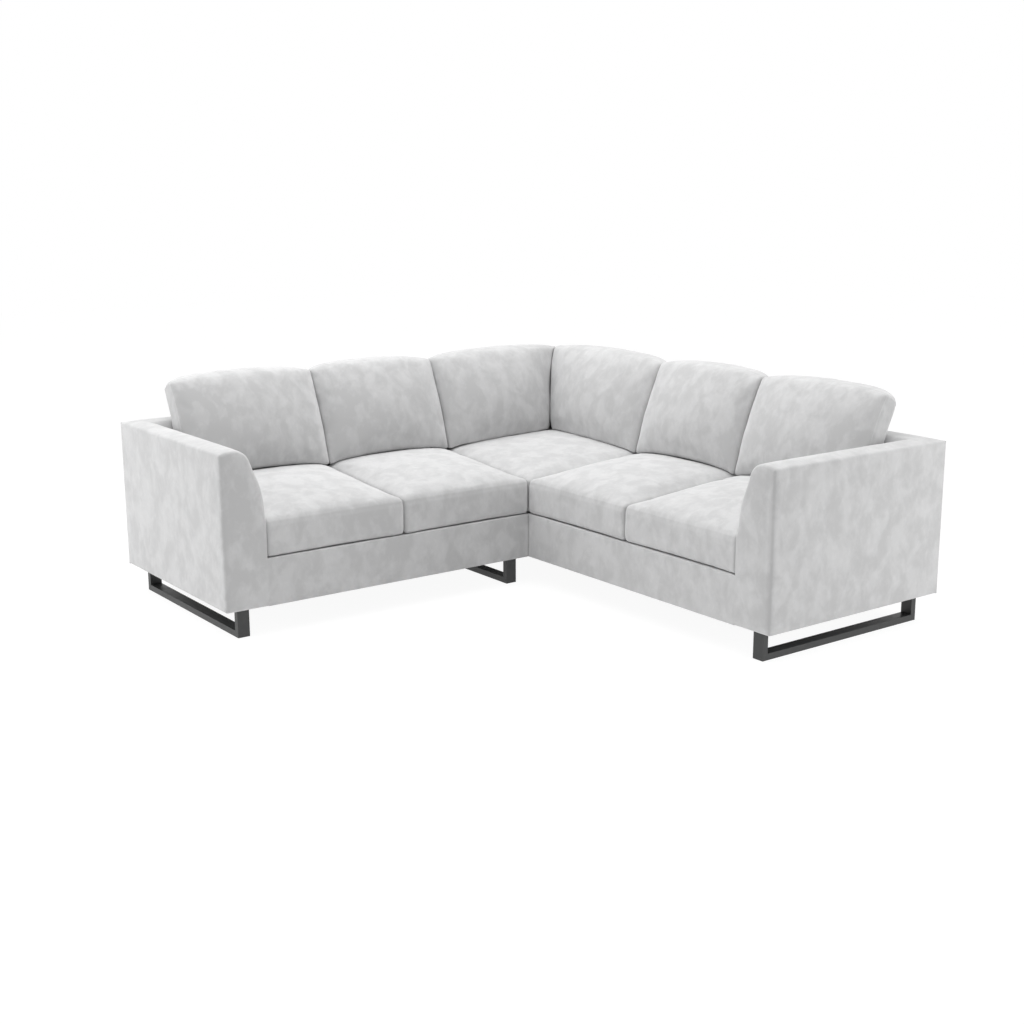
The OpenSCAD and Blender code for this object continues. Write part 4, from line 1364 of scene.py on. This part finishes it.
# %% [markdown]
# The room of a back cushion is bounded by planes that all depend on the height: in front and
# behind by its lean, beside an arm by the arm's slope, in the corner by its neighbour. Each
# bound is a small function, so that the same one serves to shape the block and to press the
# blown-up cover. The height of the seats below is felt with rays cast down on them.


# %% Room of a back cushion
def front_depth(z):
    """Distance of a cushion's front from the outside back, before it is crowned."""
    return SEAT_LINE - (z - FOOT) * LEAN


def rear_depth(z):
    """Distance of its rear from there: it leans on the crest, and hangs over it above."""
    return REAR_AT_CREST - (z - CREST) * LEAN - np.maximum(0, z - CREST) * OVERHANG


def arm_end(z):
    """Where the end of a cushion by an arm runs at a height."""
    rise = np.minimum(z, FOOT + END_RISE) - ARM_STRAIGHT
    return ARM_W - np.maximum(0, rise) * ARM_LEAN + END_GAP


def pushed(depth):
    """How far the cushion in the corner goes past the diagonal at a depth."""
    return np.interp(depth, PUSH_DEPTHS, PUSHES)


def corner_end(depth, place):
    """Where a cushion in the corner ends: one presses into the end of the other."""
    if place == "corner":
        return FULL - HAIR - depth + pushed(depth)
    depths = np.linspace(0, SEAT_LINE + SEAT_CROWN, 100)
    return FULL - HAIR - np.interp(depth, depths - pushed(depths), depths)


def seat_height(spots, wing):
    """Height of the seat cushions below wing points, or the foot where there is none."""
    heights = np.full(len(spots), FOOT)
    for k, (x, y, _) in enumerate(to_room(spots, wing)):
        hit = SEAT_TREE.ray_cast(Vector((x, y, 2 * FOOT)), Vector((0, 0, -1)))[0]
        if hit:
            heights[k] = max(FOOT, hit.z)
    return heights


print("in the corner one cushion goes up to", max(PUSHES) * 1000, "mm into the other")


# %% [markdown]
# One function makes all six, as they differ only in what their ends lie against: an arm, a
# neighbour, or the other cushion in the corner. The block is bent so that it arches along
# the top and drops at the upper corners, where a stuffed cover is never full.

# %% Back cushions
def make_back_cushion(module, place, wing, body, seed):
    """A back cushion beside an arm, further in, or one of the two in the corner."""
    node = f"{module}_back_cushion_{place}"
    low, high = wing_box(node, wing)
    by_arm = place == "arm"
    mitred = place in ("return", "corner")
    thick = SEAT_LINE - rear_depth(FOOT)
    end = FULL - SEAT_LINE if mitred else high[0]
    foot_edge = MITRED_FOOT_EDGE if mitred else FOOT_EDGE
    size = np.array([end - low[0], CUSHION_HIGH, thick])

    def ends(depth, z):
        """Both ends of the room at a depth and a height."""
        left = arm_end(z) if by_arm else low[0]
        return left, corner_end(depth, place) if mitred else high[0]

    def shape(block, share):
        u, v, w = share.T
        z = FOOT + block[:, 1] + ARCH * bulge(u, ROUND) * v
        z -= END_FALL * np.abs(2 * u - 1) ** END_ONLY * v**TOP_ONLY * (1 - w) ** REAR_ONLY
        if mitred:
            z += (CORNER_FOOT_ARCH * bulge(u, ROUND) * (1 - v) + CORNER_RISE * u) * (1 - v)
        else:
            z += FOOT_ARCH * bulge(u, ROUND) * (1 - v) ** 2
        near, far = front_depth(z), rear_depth(z)
        depth = far + (near - far) * block[:, 2] / thick
        depth += bulge(u, ROUND) * bulge(v, ROUND) * FRONT_CROWN * w
        depth -= bulge(u) * bulge(v) * REAR_CROWN * (1 - w)
        depth -= TOP_ROLL * w * v**ROLL_ONLY
        if place == "return":
            last = np.clip(1 - (1 - u) * size[0] / DENT, 0, 1)
            depth -= pushed(near) * w * last**2 * (3 - 2 * last)
        left, right = ends(depth, z)
        x = left + (right - left) * block[:, 0] / size[0]
        return np.stack([x, DEPTH - depth, z], axis=1)

    def press(spots):
        x, y, z = spots.T
        z = fill_out(z, FOOT, high[2] - TOP_LOW, 0, 0)
        depth = np.maximum(DEPTH - y, rear_depth(z) - REAR_CROWN)
        left, right = ends(depth, z)
        along = fill_out((x - left) / (right - left), 0, 1, TOUCHING, TOUCHING)
        x = left + (right - left) * np.clip(along, 0, 1)
        spots = np.stack([x, DEPTH - depth, z], axis=1)
        low_part = z < FOOT + SEAT_CROWN
        spots[low_part, 2] = np.maximum(z[low_part], seat_height(spots[low_part], wing) + HAIR)
        return spots

    cushion = sew_cushion(
        node.replace("cushion", "pad"), wing, size,
        low_r=(CUSHION_CORNER, foot_edge, REAR_EDGE),
        high_r=(CUSHION_CORNER, CUSHION_CORNER, FRONT_EDGE),
        shape=shape, press=press, pressure=BACK_PRESSURE, seed=seed,
    )
    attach(cushion, body)
    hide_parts(node)


BACK_CUSHIONS = [
    ("loveseat", "arm", "left"),
    ("loveseat", "inner", "left"),
    ("corner", "return", "left"),
    ("corner", "corner", "right"),
    ("corner", "inner", "right"),
    ("corner", "arm", "right"),
]
FIRST_SEED = 10
for seed, (module, place, wing) in enumerate(BACK_CUSHIONS, FIRST_SEED):
    make_back_cushion(module, place, wing, f"{module}_back_{place}", seed)

# %% [markdown]
# ## Studio
#
# The catalogue picture has a pure white ground with next to no shadow and soft light from
# above and from the left. The white comes from the colour that the camera sees in the world
# and the floor, not from more light, so the velvet keeps its tone.

# %% World
WHITE = (1.0, 1.0, 1.0, 1.0)
WORLD_LIGHT = 0.5


def seen_directly(tree):
    """1 for rays that show the background: from the camera, mirrors and glass."""
    path = add(tree, "ShaderNodeLightPath")
    either = maths(tree, "MAXIMUM", path.outputs["Is Camera Ray"], path.outputs["Is Glossy Ray"])
    return maths(tree, "MAXIMUM", either, path.outputs["Is Transmission Ray"])


world = bpy.data.worlds.new("white studio")
bpy.context.scene.world = world
world.use_nodes = True
tree = world.node_tree
ambient = tree.nodes["Background"]
feed(tree, ambient, {"Color": WHITE, "Strength": WORLD_LIGHT})
white = add(tree, "ShaderNodeBackground", {"Color": WHITE, "Strength": 1.0})
chosen = add(tree, "ShaderNodeMixShader", {0: seen_directly(tree)})
tree.links.new(ambient.outputs[0], chosen.inputs[1])
tree.links.new(white.outputs[0], chosen.inputs[2])
tree.links.new(chosen.outputs[0], tree.nodes["World Output"].inputs["Surface"])
print("world:", world.name, "with", WORLD_LIGHT, "of its white on the sofa")

# %% [markdown]
# A floor of pure light would swallow the shadow of the sofa, and one of plain paint would be
# grey. So the floor is pale paint, mixed with a glow that the camera sees and the sofa
# doesn't. What is left of the paint still darkens under the base.

# %% Floor
FLOOR_WHITE = 0.85
FLOOR_GLOW = 1.1
FLOOR_HALF = 14.0
FLOOR_DROP = 0.0005
floor_finish, tree, shader, place = new_finish("white floor")
grain = add(tree, "ShaderNodeTexNoise", {"Vector": place, "Scale": 3.0, "Detail": 2.0})
feed(
    tree,
    shader,
    {
        "Base Color": tone(tree, grain.outputs["Fac"], (0.86, 0.86, 0.86), (0.88, 0.88, 0.88)),
        "Roughness": 0.9,
        "Specular IOR Level": 0.0,
    },
)
glow = add(tree, "ShaderNodeEmission", {"Color": WHITE, "Strength": FLOOR_GLOW})
share = maths(tree, "MULTIPLY", seen_directly(tree), FLOOR_WHITE)
part = add(tree, "ShaderNodeMixShader", {0: share})
tree.links.new(shader.outputs[0], part.inputs[1])
tree.links.new(glow.outputs[0], part.inputs[2])
tree.links.new(part.outputs[0], tree.nodes["Material Output"].inputs["Surface"])

floor_mesh = bpy.data.meshes.new("floor")
signs = [(-1, -1), (1, -1), (1, 1), (-1, 1)]
corners = [(x * FLOOR_HALF, y * FLOOR_HALF, -FLOOR_DROP) for x, y in signs]
floor_mesh.from_pydata(corners, [], [(0, 1, 2, 3)])
floor = bpy.data.objects.new("floor", floor_mesh)
bpy.context.scene.collection.objects.link(floor)
floor_mesh.materials.append(floor_finish)
print("floor:", 2 * FLOOR_HALF, "m square")

# %% [markdown]
# Three soft boxes light the sofa: a big one overhead, a weaker one far to the left that
# models the outer side of the arm, and a small low one in front on the right that lifts the
# shade on the near arm. Hard spots would draw shadows that the picture doesn't have.


# %% Lamps
def lamp(name, at, aim, width, height, power):
    """Large soft box at a point, turned towards another."""
    data = bpy.data.lights.new(name, "AREA")
    data.shape = "RECTANGLE"
    data.size = width
    data.size_y = height
    data.energy = power
    box = bpy.data.objects.new(name, data)
    bpy.context.scene.collection.objects.link(box)
    box.location = at
    box.rotation_euler = (Vector(aim) - Vector(at)).to_track_quat("-Z", "Y").to_euler()


lamp("top box", at=(-0.3, 0.45, 4.2), aim=(-0.3, 0.45, 0.5), width=5.0, height=5.0, power=141)
lamp("left box", at=(-5.0, 2.2, 1.8), aim=(-0.5, 0.6, 0.5), width=3.0, height=2.5, power=70)
lamp("right box", at=(2.2, -4.0, 1.1), aim=(0.7, -0.8, 0.5), width=2.0, height=1.6, power=42)
print("lamps:", [light.name for light in bpy.data.lights])

# %% [markdown]
# ## Camera
#
# The photograph was taken from about adult eye height, a little more than five metres away,
# with the corner of the sofa right of the middle.

# %% Camera
CAMERA_AT = (-3.48916, -4.7, 1.74528)
LOOKING = Vector((0.5783, 0.784229, -0.224841))
ROLL = -0.00344
SENSOR = 36.0
LENS = 51.835
camera_data = bpy.data.cameras.new("camera")
camera_data.sensor_width = SENSOR
camera_data.lens = LENS
camera = bpy.data.objects.new("camera", camera_data)
bpy.context.scene.collection.objects.link(camera)
camera.location = CAMERA_AT
turn = LOOKING.to_track_quat("-Z", "Y") @ Quaternion((0, 0, 1), ROLL)
camera.rotation_euler = turn.to_euler()
bpy.context.scene.camera = camera
bpy.context.scene.view_settings.view_transform = "Standard"
print("camera:", LENS, "mm lens at", CAMERA_AT)
